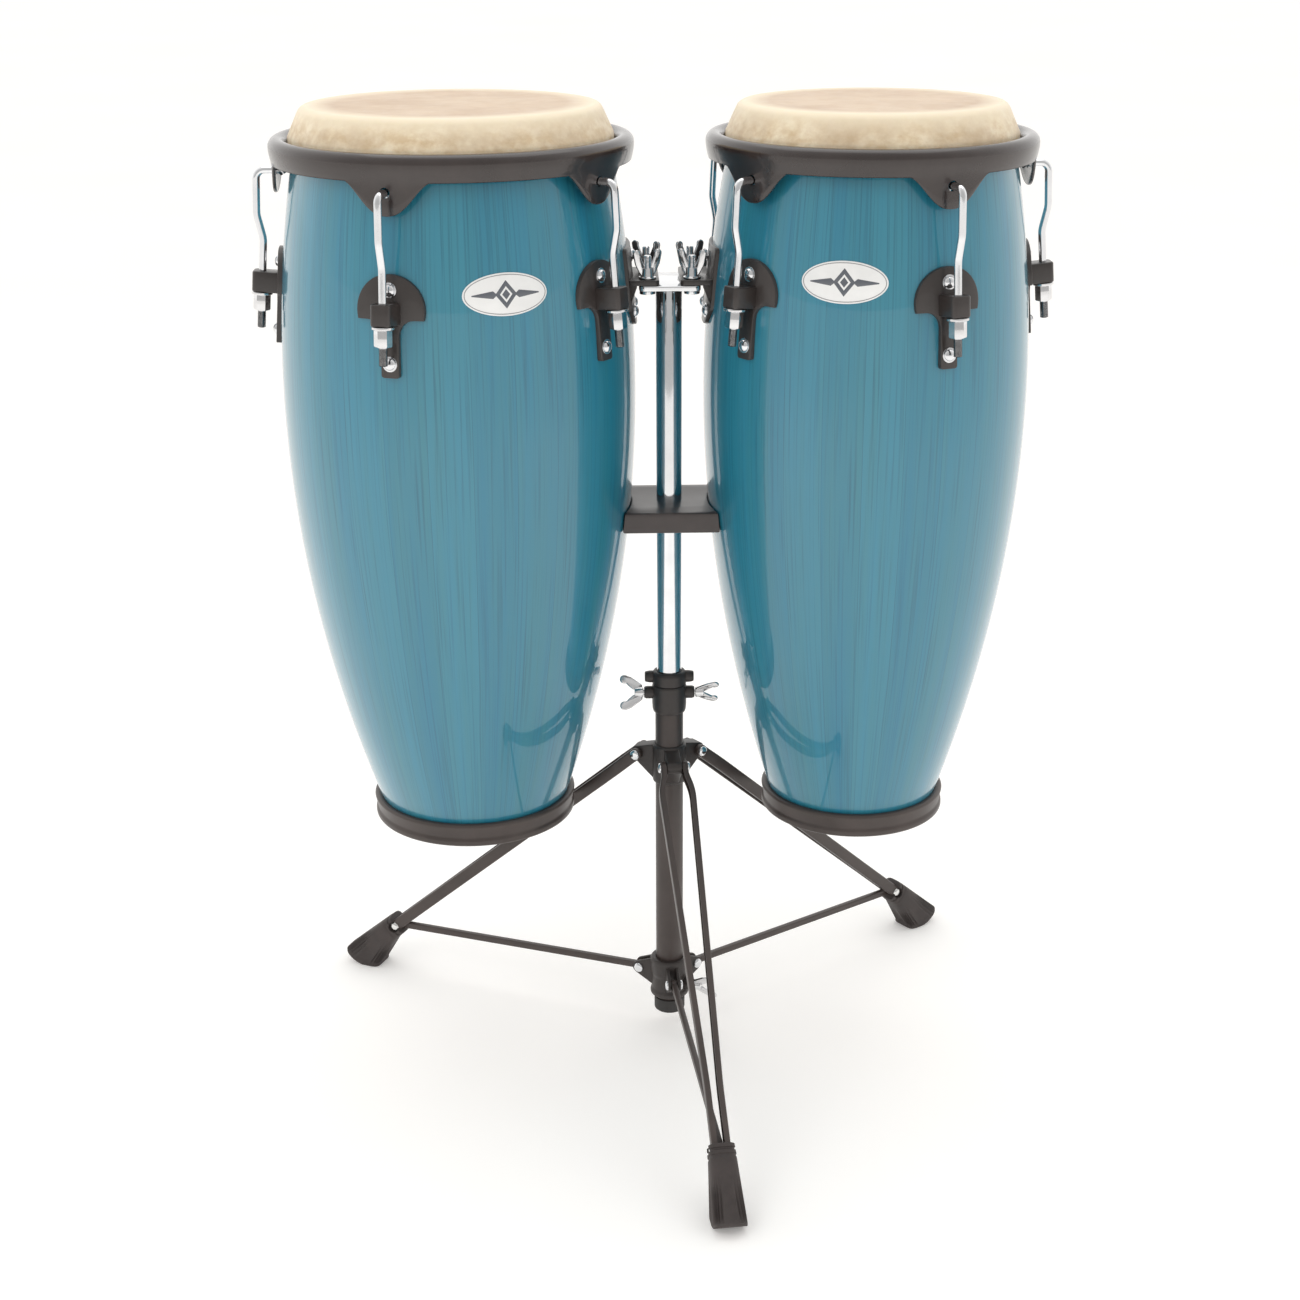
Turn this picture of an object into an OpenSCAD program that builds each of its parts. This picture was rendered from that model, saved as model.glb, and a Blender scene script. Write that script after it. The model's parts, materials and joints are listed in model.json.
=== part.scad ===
// Pair of conga drums hung on one folding tripod stand.
// +Z up, +X to the right drum, floor at z = 0, origin under the middle of the whole object.

/* [Drums] */
// Height of each drum, head included
drum_h = 711; // [690:1:730]
// Height of the drums' lower ends above the floor
drum_base_z = 262; // [262:1:290]
// Distance from the post axis to the left drum's axis
left_x = 202; // [202:1:215]
// Distance from the post axis to the right drum's axis
right_x = 190; // [190:1:205]
// Radius of the left shell at its foot
left_foot_r = 89.5; // [85:0.5:92]
// Pull of the left shell's lower curve
left_low_pull = 174.3; // [165:0.1:176]
// Pull of the left shell's upper curve
left_high_pull = 193.4; // [185:0.1:195]
// Radius of the left shell at its bearing edge
left_edge_r = 139.1; // [134:0.1:142]
// Radius of the right shell at its foot
right_foot_r = 80.3; // [76:0.1:84]
// Pull of the right shell's lower curve
right_low_pull = 159.6; // [152:0.1:162]
// Pull of the right shell's upper curve
right_high_pull = 181.4; // [174:0.1:184]
// Radius of the right shell at its bearing edge
right_edge_r = 124.9; // [120:0.1:127]
// Thickness of the wooden staves
shell_wall = 11; // [9:0.5:13]
// Height of the ring round the shell's foot
ring_h = 22; // [16:1:26]
// Thickness of the skin
skin_t = 2; // [1.5:0.1:2.5]

/* [Rim and tuning] */
// Width of the rounded rim
rim_w = 17.2; // [15:0.1:18]
// Depth of the rim's band
rim_h = 23; // [20:1:26]
// How far the rim's top lies below the head
rim_drop = 27; // [24:1:30]
// How far each ear hangs below the band
ear_drop = 30; // [27:1:31]
// Diameter of the tuning hook's wire
rod_d = 7.2; // [6.5:0.1:7.6]
// Width across flats of the tuning nut
nut_flats = 14; // [12:0.5:15]
// Distance from the shell to the tuning hook's threaded leg
rod_off = 19; // [17:0.5:21]

/* [Mast and brackets] */
// Outer diameter of the chrome mast
mast_d = 25.4; // [25:0.1:25.8]
// Height of the top plate's upper face
plate_z = 808; // [800:1:812]
// Height of the bumper block's upper face
block_z = 590; // [560:5:640]
// Depth of the bumper block from front to back
block_depth = 102; // [90:2:110]

/* [Tripod] */
// Outer diameter of the base tube
tube_d = 28.6; // [28.2:0.1:29]
// Height of the base tube's upper end
tube_top = 368; // [360:1:372]
// Height of the leg pivots
leg_pivot_z = 314; // [312:1:316]
// Height of the runner's brace pivots
runner_z = 61.5; // [60.5:0.5:63]
// Distance from the post axis to every pivot on the collars
pivot_r = 33; // [32:0.5:34]
// Azimuth of the front leg
front_azimuth = -83.5; // [-86:0.5:-80]

/* [Place] */
// Post axis, to the right of the origin
post_x = 12.5; // [0:0.5:20]
// Post axis, behind the origin
post_y = 73.5; // [60:0.5:100]

/* [Hidden] */
$fn = 64;
LEFT = 0;
RIGHT = 1;
gap = 0.3;                  // between faces of pieces that move past each other
fit = 0.08;                 // radial clearance of a running fit
big = 400;                  // longer than any cut needs

// Shells: four control radii, from the foot to the bearing edge
profile = [[left_foot_r, left_low_pull, left_high_pull, left_edge_r],
           [right_foot_r, right_low_pull, right_high_pull, right_edge_r]];
drum_x = [-left_x, right_x];
inward = [0, 180];          // azimuth from each drum towards the post
shell_steps = 16;
shell_top = drum_h - 16;     // the straight staves end here, under the bearing edge
edge_round = 6.7;           // radius of the bearing edge under the skin
edge_slope = 24;            // the skin's slope past the bearing edge, from vertical

// Tuning hardware, heights measured up the drum from its foot
lug_count = 5;
lug_azimuth = [37, 3];
lug_s = 547;
block_top = 9.6;
block_bottom = -10;
block_out = 28;
block_w = 21;
plate_t = 4;
fan_r = 32;
fan_low = -6;
stem_w = 17;
stem_low = -57.5;
bolt_d = 6;
dome_d = 11;
dome_h = 4.2;
lug_bolts = [20, -45];
bolt_inside = 11;
nut_h = 18;
flange_d = 20.4;
flange_t = 3;
rod_low = -44;
ear_r_in = 4.2;             // the ear's middle lies this far inside the rim's outer radius
ear_t = 3.2;
ear_half_w = 42;
ear_flat = 0.18;            // share of an ear's half width that is level at its tip
hole_s = 651.5;
hook_hole_d = 9.4;
bend_thin = 0.1;            // bent wire is drawn a little thinner than straight wire
rim_wall = 2.6;
rim_over = 13.4;            // the rim's inner radius beyond the bearing edge
hoop_d = 8;
badge_size = [78, 38];
badge_t = 0.8;
badge_azimuth = [289, 255];
badge_s = [562, 568];

// Brackets, top plate and wing nuts
bracket_w = 76;
bracket_up = 35;
bracket_down = -40;
bracket_t = 3;
bracket_bolts = [[-22, -26], [22, -26], [0, 24]];
flange_plate_t = 5;
flange_reach = 10;          // the flange stops this far from the post axis
stud_x = 21;
stud_y = 26;
stud_d = 7.8;
stud_top = 27;
top_plate_size = [58, 76, 5];
mast_wall = 1.6;
mast_low = 150;
block_t = 20.5;
lock_h = 14;
wing_t = 3.2;

// Tripod: leg and brace in one upright plane, radius and height
leg_count = 3;
rivet_r = 331;
rivet_z = 54;
leg_len = norm([rivet_r - pivot_r, leg_pivot_z - rivet_z]);
leg_drop = atan((leg_pivot_z - rivet_z) / (rivet_r - pivot_r));
brace_len = norm([rivet_r - pivot_r, runner_z - rivet_z]);
brace_drop = atan((runner_z - rivet_z) / (rivet_r - pivot_r));
collar_low = -28;            // the collar's ends from the leg pivots
collar_high = 14;
strip_t = 5.5;
strip_d = 12.5;
strip_wall = 1.5;
strip_end = 14;             // how far the strips run past the foot rivet
strip_path = [[0, 11], [10, 11], [28, 16], [leg_len - 60, 6.3], [leg_len + strip_end, 6.3]];
ear_w = 15.5;
bar_w = 6;
bar_h = 9;
fork_t = 3.5;
pin_d = 6;
pin_head_d = 10.5;
pin_head_t = 2.6;
runner_low = 36;
runner_top = 80;
runner_d = 41;
sole_r = 365;
sole_size = [26, 34, 3.5];
toe_r = 391;                // the boot's toe turns up past the sole
toe_z = 11;
neck_d = 27;
tube_wall = 1.2;
tube_low = 20;
clamp_low = 364;
clamp_top = 394;
clamp_d = 35;
screw_z = 384;
runner_screw_z = 50;

function bezier(t, c) =
    pow(1 - t, 3) * c[0] + 3 * t * pow(1 - t, 2) * c[1] + 3 * t * t * (1 - t) * c[2] + pow(t, 3) * c[3];
function shell_r(side, s) = bezier(s / drum_h, profile[side]);
function edge_r(side) = profile[side][3];
function flat_r(side) = edge_r(side) - edge_round * cos(edge_slope);
function rim_in(side) = edge_r(side) + rim_over;
function rim_out(side) = rim_in(side) + rim_w;
function tilt(side, s) = atan((shell_r(side, s - 20) - shell_r(side, s + 20)) / 40);
function shell_heights() =
    concat([0, ring_h], [for (i = [1:shell_steps]) ring_h + (shell_top - ring_h) * i / shell_steps]);
function edge_arc(side, r) =
    [for (a = [edge_slope:11:90])
        [flat_r(side) + r * cos(a), drum_h - skin_t - edge_round + r * sin(a)]];
function leg_azimuth(i) = front_azimuth + 120 * i;

module in_drum(side) {
    translate([post_x + drum_x[side], post_y, drum_base_z]) children();
}

// A frame on the shell: X outwards, Z up along the shell
module on_shell(side, azimuth, s) {
    in_drum(side) rotate([0, 0, azimuth]) translate([shell_r(side, s), 0, s])
        rotate([0, -tilt(side, s), 0]) children();
}

module at_lugs(side) {
    for (i = [0:lug_count - 1]) on_shell(side, lug_azimuth[side] + 72 * i, lug_s) children();
}

module at_bracket(side) {
    on_shell(side, inward[side], plate_z - drum_base_z) children();
}

// Bracket bolts stand square to the shell, either side of the line that faces the post
module at_bracket_bolts(side) {
    s = plate_z - drum_base_z;
    for (p = bracket_bolts) on_shell(side, inward[side] + asin(p[0] / shell_r(side, s)), s)
        translate([0, 0, p[1]]) children();
}

module in_stand() {
    translate([post_x, post_y, 0]) children();
}

// A 2D outline in the Y-Z plane, extruded along X
module outward(x0, x1) {
    translate([x0, 0, 0]) rotate([90, 0, 90]) linear_extrude(x1 - x0) children();
}

// A plate bent round the shell, cut to an outline
module bent_plate(side, s, thickness) {
    r = shell_r(side, s) / cos(tilt(side, s));
    intersection() {
        translate([-r, 0, -big / 2]) difference() {
            cylinder(r = r + thickness, h = big);
            translate([0, 0, -1]) cylinder(r = r + 0.1, h = big + 2);
        }
        outward(-r / 2, thickness + 1) children();
    }
}

module tube(outer_d, inner_d, z0, z1) {
    translate([0, 0, z0]) difference() {
        cylinder(d = outer_d, h = z1 - z0);
        translate([0, 0, -1]) cylinder(d = inner_d, h = z1 - z0 + 2);
    }
}

// ---- Drums ----

module shell_outline(side, grow) {
    polygon(concat([[0, 0]], [for (s = shell_heights()) [shell_r(side, s) + grow, s]],
                   [[0, shell_top]]));
}

module bolt_holes(side, d) {
    at_lugs(side) for (z = lug_bolts) translate([0, 0, z]) rotate([0, 90, 0])
        cylinder(d = d, h = 60, center = true);
    at_bracket_bolts(side) rotate([0, 90, 0]) cylinder(d = d, h = 60, center = true);
}

module shell(side) {
    heights = shell_heights();
    last = len(heights) - 1;
    difference() {
        in_drum(side) rotate_extrude() polygon(concat(
            [for (s = heights) [shell_r(side, s), s]],
            edge_arc(side, edge_round),
            [[flat_r(side) - 3, drum_h - skin_t - 1]],
            [for (i = [last:-1:0]) [shell_r(side, heights[i]) - shell_wall, heights[i]]]));
        bolt_holes(side, bolt_d + 0.2);
    }
}

module bottom_ring(side) {
    r0 = shell_r(side, 0);
    r1 = shell_r(side, ring_h);
    proud = 7;
    color("#3a3230") in_drum(side) rotate_extrude() polygon([
        [r0 - shell_wall, -1.5], [r0 + proud + 4, -1.5], [r0 + proud + 6, 1], [r0 + proud + 6, 5],
        [r1 + proud - 1, ring_h - 2], [r1 + proud - 3, ring_h], [r1, ring_h], [r0, 0],
        [r0 - shell_wall, 0]]);
}

// The skin: flat playing face, bearing edge, skirt, and a tuck round the flesh hoop
module head(side) {
    skirt_r = rim_in(side) - 1.5;
    hoop_r = rim_in(side) + 3.5;
    hoop_s = drum_h - rim_drop - 14;
    outer = edge_arc(side, edge_round + skin_t);
    inner = edge_arc(side, edge_round);
    n = len(outer) - 1;
    color("#e9d9b8") in_drum(side) rotate_extrude() union() {
        polygon(concat(
            [[0, drum_h - skin_t], [0, drum_h]],
            [for (i = [n:-1:0]) outer[i]],
            [[skirt_r, drum_h - rim_drop], [skirt_r, hoop_s], [skirt_r - skin_t, hoop_s],
             [skirt_r - skin_t, drum_h - rim_drop - 1]],
            inner));
        translate([hoop_r, hoop_s]) difference() {
            circle(d = hoop_d + 2 * skin_t);
            circle(d = hoop_d);
            translate([0.5, -hoop_d]) square(hoop_d);
        }
    }
}

module flesh_hoop(side) {
    color("#9a9a9a") in_drum(side) rotate_extrude()
        translate([rim_in(side) + 3.5, drum_h - rim_drop - 14]) circle(d = hoop_d - 0.1);
}

module rim_section(side) {
    top = drum_h - rim_drop;
    mid = rim_in(side) + rim_w / 2;
    lip = top - 8;
    difference() {
        union() {
            translate([mid, top - rim_w / 2]) circle(d = rim_w);
            translate([rim_in(side), top - rim_h]) square([rim_w, rim_h - rim_w / 2]);
        }
        translate([mid, top - rim_w / 2]) circle(d = rim_w - 2 * rim_wall);
        translate([rim_in(side) + rim_wall, top - rim_h - 1])
            square([rim_w - 2 * rim_wall, rim_h - rim_w / 2 + 1]);
        translate([rim_in(side) - 1, top - rim_h - 1]) square([rim_w / 2 + 1, lip - top + rim_h + 1]);
    }
}

// Share of an ear's drop at a share of its half width: level at the tip, then a smooth climb
function ear_fall(u) =
    let (t = min(1, (1 - abs(u)) / (1 - ear_flat))) t * t * (3 - 2 * t);

// Bell-shaped outline of one ear, in the Y-Z plane
module ear_outline(side) {
    band_low = drum_h - rim_drop - rim_h;
    polygon(concat(
        [[-ear_half_w, band_low + 5]],
        [for (i = [0:20]) let (u = -1 + i / 10)
            [ear_half_w * u, band_low + 2 - (ear_drop + 2) * ear_fall(u)]],
        [[ear_half_w, band_low + 5]]));
}

module rim(side) {
    ear_mid = rim_out(side) - ear_r_in;
    color("#3a3230") in_drum(side) difference() {
        union() {
            rotate_extrude() rim_section(side);
            intersection() {
                translate([0, 0, drum_h - 100]) difference() {
                    cylinder(r = ear_mid + ear_t / 2 + 0.4, h = 60);
                    translate([0, 0, -1]) cylinder(r = ear_mid - ear_t / 2 + 0.4, h = 62);
                }
                union() for (i = [0:lug_count - 1]) rotate([0, 0, lug_azimuth[side] + 72 * i])
                    outward(ear_mid - 20, ear_mid + 20) ear_outline(side);
            }
        }
        for (i = [0:lug_count - 1]) rotate([0, 0, lug_azimuth[side] + 72 * i])
            translate([ear_mid - 12, 0, hole_s]) rotate([0, 90, 0]) cylinder(d = hook_hole_d, h = 24);
    }
}

// One length of wire upwards, then the rest of the wire
module wire(length) {
    lap = 0.05;
    translate([0, 0, -lap]) cylinder(d = rod_d, h = length + 2 * lap);
    translate([0, 0, length]) children();
}

// A bend of the wire towards +X for a positive angle, then the rest of the wire
module bend(radius, angle) {
    flip = angle < 0 ? 180 : 0;
    rotate([0, 0, flip]) {
        translate([radius, 0, 0]) rotate([90, 0, 0]) rotate([0, 0, 180 - abs(angle)])
            rotate_extrude(angle = abs(angle)) translate([radius, 0]) circle(d = rod_d - bend_thin);
        translate([radius, 0, 0]) rotate([0, abs(angle), 0]) translate([-radius, 0, 0])
            rotate([0, 0, -flip]) children();
    }
}

// Lower leg along the shell, out over the plate, then in through the ear
module tuning_hook(side) {
    lean = tilt(side, lug_s);
    out = 12;
    back = 3;
    sweep_r = 25;
    tip_r = 8;
    rise_1 = 36;
    rise_2 = 16;
    ear_mid = rim_out(side) - ear_r_in;
    s_after = lug_s + rod_off * sin(lean) + rise_1 * cos(lean) + sweep_r * (sin(out) + sin(lean))
        + rise_2 * cos(out) + sweep_r * (sin(out) + sin(back));
    rise_3 = (hole_s - tip_r * (1 - sin(back)) - s_after) / cos(back);
    r_after = shell_r(side, lug_s) + rod_off * cos(lean) - rise_1 * sin(lean)
        + sweep_r * (cos(lean) - cos(out)) + rise_2 * sin(out) + sweep_r * (cos(back) - cos(out))
        - rise_3 * sin(back);
    reach = r_after - tip_r * cos(back) - ear_mid + 3.2;
    translate([rod_off, 0, rod_low]) wire(rise_1 - rod_low) bend(sweep_r, lean + out)
        wire(rise_2) bend(sweep_r, -out - back) wire(rise_3) bend(tip_r, back - 90)
        wire(reach) bend(tip_r - 3, -62) wire(1);
}

module tuning_hooks(side) {
    color("#c9ccd0") at_lugs(side) tuning_hook(side);
}

module side_plate_outline() {
    flare = 14;
    difference() {
        union() {
            intersection() {
                translate([0, 2]) circle(r = fan_r);
                translate([-fan_r, fan_low]) square([2 * fan_r, 2 * fan_r]);
            }
            translate([-stem_w / 2, stem_low]) square([stem_w, 10 - stem_low]);
            translate([-stem_w / 2 - flare, fan_low - flare]) square([stem_w + 2 * flare, flare + 0.1]);
        }
        for (m = [-1, 1]) translate([m * (stem_w / 2 + flare), fan_low - flare]) circle(r = flare);
        for (z = lug_bolts) translate([0, z]) circle(d = bolt_d + 0.2);
    }
}

module side_plates(side) {
    color("#3a3230") at_lugs(side) difference() {
        union() {
            bent_plate(side, lug_s, plate_t) side_plate_outline();
            translate([plate_t - 3, -block_w / 2, block_bottom])
                cube([block_out - plate_t + 3, block_w, block_top - block_bottom]);
        }
        translate([rod_off, 0, block_bottom - 1]) cylinder(d = rod_d + 2 * fit, h = 30);
    }
}

module dome_bolt(under_head) {
    ball_r = (dome_h * dome_h + dome_d * dome_d / 4) / (2 * dome_h);
    translate([under_head, 0, 0]) rotate([0, 90, 0]) {
        rotate_extrude() intersection() {
            translate([0, dome_h - ball_r]) circle(r = ball_r);
            square([dome_d, dome_h]);
        }
        translate([0, 0, -under_head - shell_wall - bolt_inside])
            cylinder(d = bolt_d, h = under_head + shell_wall + bolt_inside + 0.1);
    }
}

module bolts(side) {
    color("#d5d8dc") {
        at_lugs(side) for (z = lug_bolts) translate([0, 0, z]) dome_bolt(plate_t);
        at_bracket_bolts(side) dome_bolt(bracket_t);
    }
}

// Washer and nut inside the shell
module backing_nut() {
    washer_t = 1.5;
    washer_d = 18;
    seat = shell_wall + 2.2;
    translate([-seat, 0, 0]) rotate([0, -90, 0]) difference() {
        union() {
            cylinder(d = washer_d, h = washer_t);
            translate([0, 0, washer_t]) cylinder(d = 10 / cos(30), h = 5, $fn = 6);
        }
        translate([0, 0, -1]) cylinder(d = bolt_d, h = 9);
    }
}

module backing_nuts(side) {
    color("#b8bbbf") {
        at_lugs(side) for (z = lug_bolts) translate([0, 0, z]) backing_nut();
        at_bracket_bolts(side) backing_nut();
    }
}

module badge(side) {
    color("#f2f2f0") on_shell(side, badge_azimuth[side], badge_s[side])
        bent_plate(side, badge_s[side], badge_t)
        polygon([for (a = [0:10:350]) [badge_size[0] / 2 * cos(a), badge_size[1] / 2 * sin(a)]]);
}

module tuning_nut(side, i) {
    color("#d5d8dc") on_shell(side, lug_azimuth[side] + 72 * (i - 1), lug_s)
        translate([rod_off, 0, block_bottom - gap]) mirror([0, 0, 1]) difference() {
            union() {
                cylinder(d = flange_d, h = flange_t);
                cylinder(d = nut_flats / cos(30), h = nut_h, $fn = 6);
            }
            translate([0, 0, -1]) cylinder(d = rod_d + 2 * fit, h = nut_h + 2);
        }
}

// Curved back plate, level flange over the top plate, and two gussets
module bracket(side) {
    s = plate_z - drum_base_z;
    toward = side == LEFT ? 1 : -1;
    root = abs(drum_x[side]) - shell_r(side, s) + 4;
    flange_z = plate_z + gap;
    color("#2c2725") difference() {
        union() {
            at_bracket(side) bent_plate(side, s, bracket_t) difference() {
                translate([-bracket_w / 2, bracket_down]) square([bracket_w, bracket_up - bracket_down]);
                for (m = [-1, 1]) translate([m * bracket_w / 2, bracket_down]) rotate(45)
                    square(24, center = true);
            }
            in_stand() translate([toward > 0 ? -root : flange_reach, -bracket_w / 2, flange_z])
                cube([root - flange_reach, bracket_w, flange_plate_t]);
            in_stand() for (m = [-1, 1]) translate([0, m * (bracket_w / 2 - 2) + 2, flange_z + 1])
                rotate([90, 0, 0]) linear_extrude(4)
                polygon([[-toward * root, 0], [-toward * (top_plate_size[0] / 2 + 1), 0],
                         [-toward * root, -26]]);
        }
        in_drum(side) rotate_extrude() shell_outline(side, 0.1);
        at_bracket_bolts(side) rotate([0, 90, 0]) cylinder(d = bolt_d + 0.2, h = 20, center = true);
        in_stand() for (m = [-1, 1]) translate([-toward * stud_x, m * stud_y, plate_z])
            cylinder(d = stud_d + 1, h = 20);
    }
}

// ---- Mast ----

// Outline of one wing, from the hub outwards and up
module wing_outline(reach, rise) {
    lobe_r = reach * 0.28;
    polygon([[3, 1], [3, rise * 0.4], [reach * 0.5, rise * 0.88], [reach * 0.96, rise * 0.7],
             [reach * 0.45, 1]]);
    translate([reach - lobe_r, rise - lobe_r]) circle(r = lobe_r);
}

module wings(reach, rise) {
    for (m = [0, 1]) mirror([m, 0, 0]) translate([0, wing_t / 2, 0]) rotate([90, 0, 0])
        linear_extrude(wing_t) wing_outline(reach, rise);
}

module wing_nut(side, y_sign) {
    toward = side == LEFT ? -1 : 1;
    hub_h = 10;
    color("#d5d8dc") in_stand()
        translate([toward * stud_x, y_sign * stud_y, plate_z + 2 * gap + flange_plate_t])
        rotate([0, 0, 20 * toward * y_sign]) difference() {
            union() {
                cylinder(d = 12, h = hub_h);
                cylinder(d = 17, h = 1.6);
                wings(14.4, 27);
            }
            translate([0, 0, -1]) cylinder(d = stud_d + 2 * fit, h = hub_h + 30);
        }
}

// A wing screw along +Z with its tip at the origin
module wing_screw(shank) {
    cylinder(d = bolt_d, h = shank + 1);
    translate([0, 0, shank]) cylinder(d = 11, h = 9);
    translate([0, 0, shank]) wings(19, 24);
}

module clamp_screw(sign) {
    color("#d5d8dc") in_stand() translate([sign * (tube_d / 2 + gap), 0, screw_z]) rotate([0, sign * 90, 0])
        rotate([0, 0, 25]) wing_screw(12);
}

module mast() {
    color("#d5d8dc") in_stand() tube(mast_d, mast_d - 2 * mast_wall, mast_low, plate_z - top_plate_size[2]);
}

module memory_lock() {
    z0 = clamp_top + gap;
    color("#2c2725") in_stand() difference() {
        union() {
            tube(clamp_d, mast_d, z0, z0 + lock_h);
            for (m = [-1, 1]) translate([m * 14, 0, z0 + lock_h / 2]) rotate([0, m * 90, 0])
                cylinder(d = 12, h = 11);
        }
        translate([0, 0, z0 - 1]) cylinder(d = mast_d, h = lock_h + 2);
    }
}

// Plate welded on the mast, with four studs
module top_plate() {
    size = top_plate_size;
    color("#d5d8dc") in_stand() {
        translate([-size[0] / 2, -size[1] / 2, plate_z - size[2]]) cube(size);
        for (x = [-1, 1], y = [-1, 1]) translate([x * stud_x, y * stud_y, plate_z - size[2] - 4]) {
            cylinder(d = stud_d, h = size[2] + 4 + stud_top);
            cylinder(d = 15, h = 4);
        }
    }
}

// Block on the mast that keeps the two shells apart
module bumper_block() {
    half_w = 45;
    color("#2c2725") difference() {
        in_stand() translate([-half_w, -block_depth / 2, block_z - block_t])
            cube([2 * half_w, block_depth, block_t]);
        for (side = [LEFT, RIGHT]) in_drum(side) rotate_extrude() shell_outline(side, 0.4);
        in_stand() translate([0, 0, block_z - block_t - 1]) cylinder(d = mast_d, h = block_t + 2);
    }
}

// ---- Tripod ----

module base_tube() {
    color("#2c2725") in_stand() tube(tube_d, tube_d - 2 * tube_wall, tube_low, tube_top);
}

module tube_end_cap() {
    wall = 2;
    color("#1d1b1a") in_stand() difference() {
        translate([0, 0, tube_low - 3]) cylinder(d = tube_d + 2 * wall, h = 15);
        translate([0, 0, tube_low]) cylinder(d = tube_d, h = 20);
    }
}

module mast_bushing() {
    color("#1d1b1a") in_stand() tube(tube_d, mast_d + 2 * fit, tube_top, clamp_top - 1);
}

module mast_clamp() {
    color("#2c2725") in_stand() difference() {
        union() {
            rotate_extrude() polygon([[0, clamp_low], [clamp_d / 2 - 0.5, clamp_low],
                                      [clamp_d / 2, clamp_low + 16], [clamp_d / 2, clamp_top],
                                      [0, clamp_top]]);
            for (m = [-1, 1]) translate([m * 14, 0, screw_z]) rotate([0, m * 90, 0])
                cylinder(d = 13, h = 12);
        }
        translate([0, 0, clamp_low - 1]) cylinder(d = tube_d, h = clamp_top - clamp_low);
        translate([0, 0, clamp_low - 1]) cylinder(d = mast_d + 1, h = 100);
        translate([0, 0, screw_z]) rotate([0, 90, 0])
            cylinder(d = bolt_d + 2 * fit, h = 80, center = true);
    }
}

module wedge_ear(z0, z1, pivot_z, width) {
    rotate([90, 0, 0]) linear_extrude(width, center = true) {
        translate([pivot_r, pivot_z]) circle(r = 7.5);
        polygon([[tube_d / 2 - 1, z0], [pivot_r, pivot_z - 7.5], [pivot_r, pivot_z + 7.5],
                 [tube_d / 2 - 1, z1]]);
    }
}

module at_legs() {
    in_stand() for (i = [0:leg_count - 1]) rotate([0, 0, leg_azimuth(i)]) children();
}

module pin_hole(z, d) {
    translate([pivot_r, 0, z]) rotate([90, 0, 0]) cylinder(d = d, h = 60, center = true);
}

module leg_collar() {
    color("#2c2725") difference() {
        union() {
            in_stand() translate([0, 0, leg_pivot_z + collar_low])
                cylinder(d = tube_d + 6, h = collar_high - collar_low);
            at_legs() wedge_ear(leg_pivot_z + collar_low + 2, leg_pivot_z + collar_high - 2,
                                leg_pivot_z, ear_w);
        }
        in_stand() cylinder(d = tube_d, h = big);
        at_legs() pin_hole(leg_pivot_z, pin_d);
    }
}

module pivot_bolt(z, d, half_grip) {
    translate([pivot_r, 0, z]) rotate([90, 0, 0]) {
        cylinder(d = d, h = 2 * half_grip, center = true);
        for (m = [0, 1]) mirror([0, 0, m]) translate([0, 0, half_grip])
            cylinder(d = pin_head_d, h = pin_head_t);
    }
}

module leg_pivot_bolts() {
    color("#d5d8dc") at_legs() pivot_bolt(leg_pivot_z, pin_d, strip_path[0][1] + strip_t / 2 + gap);
}

// Ring that slides on the base tube, with a fork for each brace
module runner() {
    fork_in = bar_w / 2 + gap;
    color("#2c2725") difference() {
        union() {
            in_stand() translate([0, 0, runner_low]) cylinder(d = runner_d, h = runner_top - runner_low);
            at_legs() wedge_ear(runner_low + 6, runner_top - 3, runner_z, 2 * (fork_in + fork_t));
            in_stand() rotate([0, 0, front_azimuth + 60]) translate([12, 0, runner_screw_z])
                rotate([0, 90, 0]) cylinder(d = 14, h = 15);
        }
        in_stand() cylinder(d = tube_d + 2 * fit, h = big);
        at_legs() {
            translate([runner_d / 2 + 0.5, -fork_in, 0]) cube([40, 2 * fork_in, 200]);
            pin_hole(runner_z, pin_d - 1);
        }
        in_stand() rotate([0, 0, front_azimuth + 60]) translate([0, 0, runner_screw_z])
            rotate([0, 90, 0]) cylinder(d = bolt_d + 2 * fit, h = 60);
    }
}

module brace_pivot_bolts() {
    color("#d5d8dc") at_legs() pivot_bolt(runner_z, pin_d - 1, bar_w / 2 + gap + fork_t);
}

module runner_wing_screw() {
    color("#d5d8dc") in_stand() rotate([0, 0, front_azimuth + 60])
        translate([tube_d / 2 + gap, 0, runner_screw_z]) rotate([0, 90, 0]) rotate([0, 0, 30])
        wing_screw(13.5);
}

// A frame on one leg: X down the leg from its pivot, Y sideways, Z away from the tube
module on_leg(i) {
    in_stand() rotate([0, 0, leg_azimuth(i)]) translate([pivot_r, 0, leg_pivot_z])
        rotate([0, leg_drop, 0]) children();
}

// Band between two sideways offsets of the strip's path
module strip_band(low, high) {
    path = strip_path;
    n = len(path) - 1;
    polygon(concat([for (p = path) [p[0], p[1] + low]],
                   [for (i = [n:-1:0]) [path[i][0], path[i][1] + high]]));
}

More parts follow.
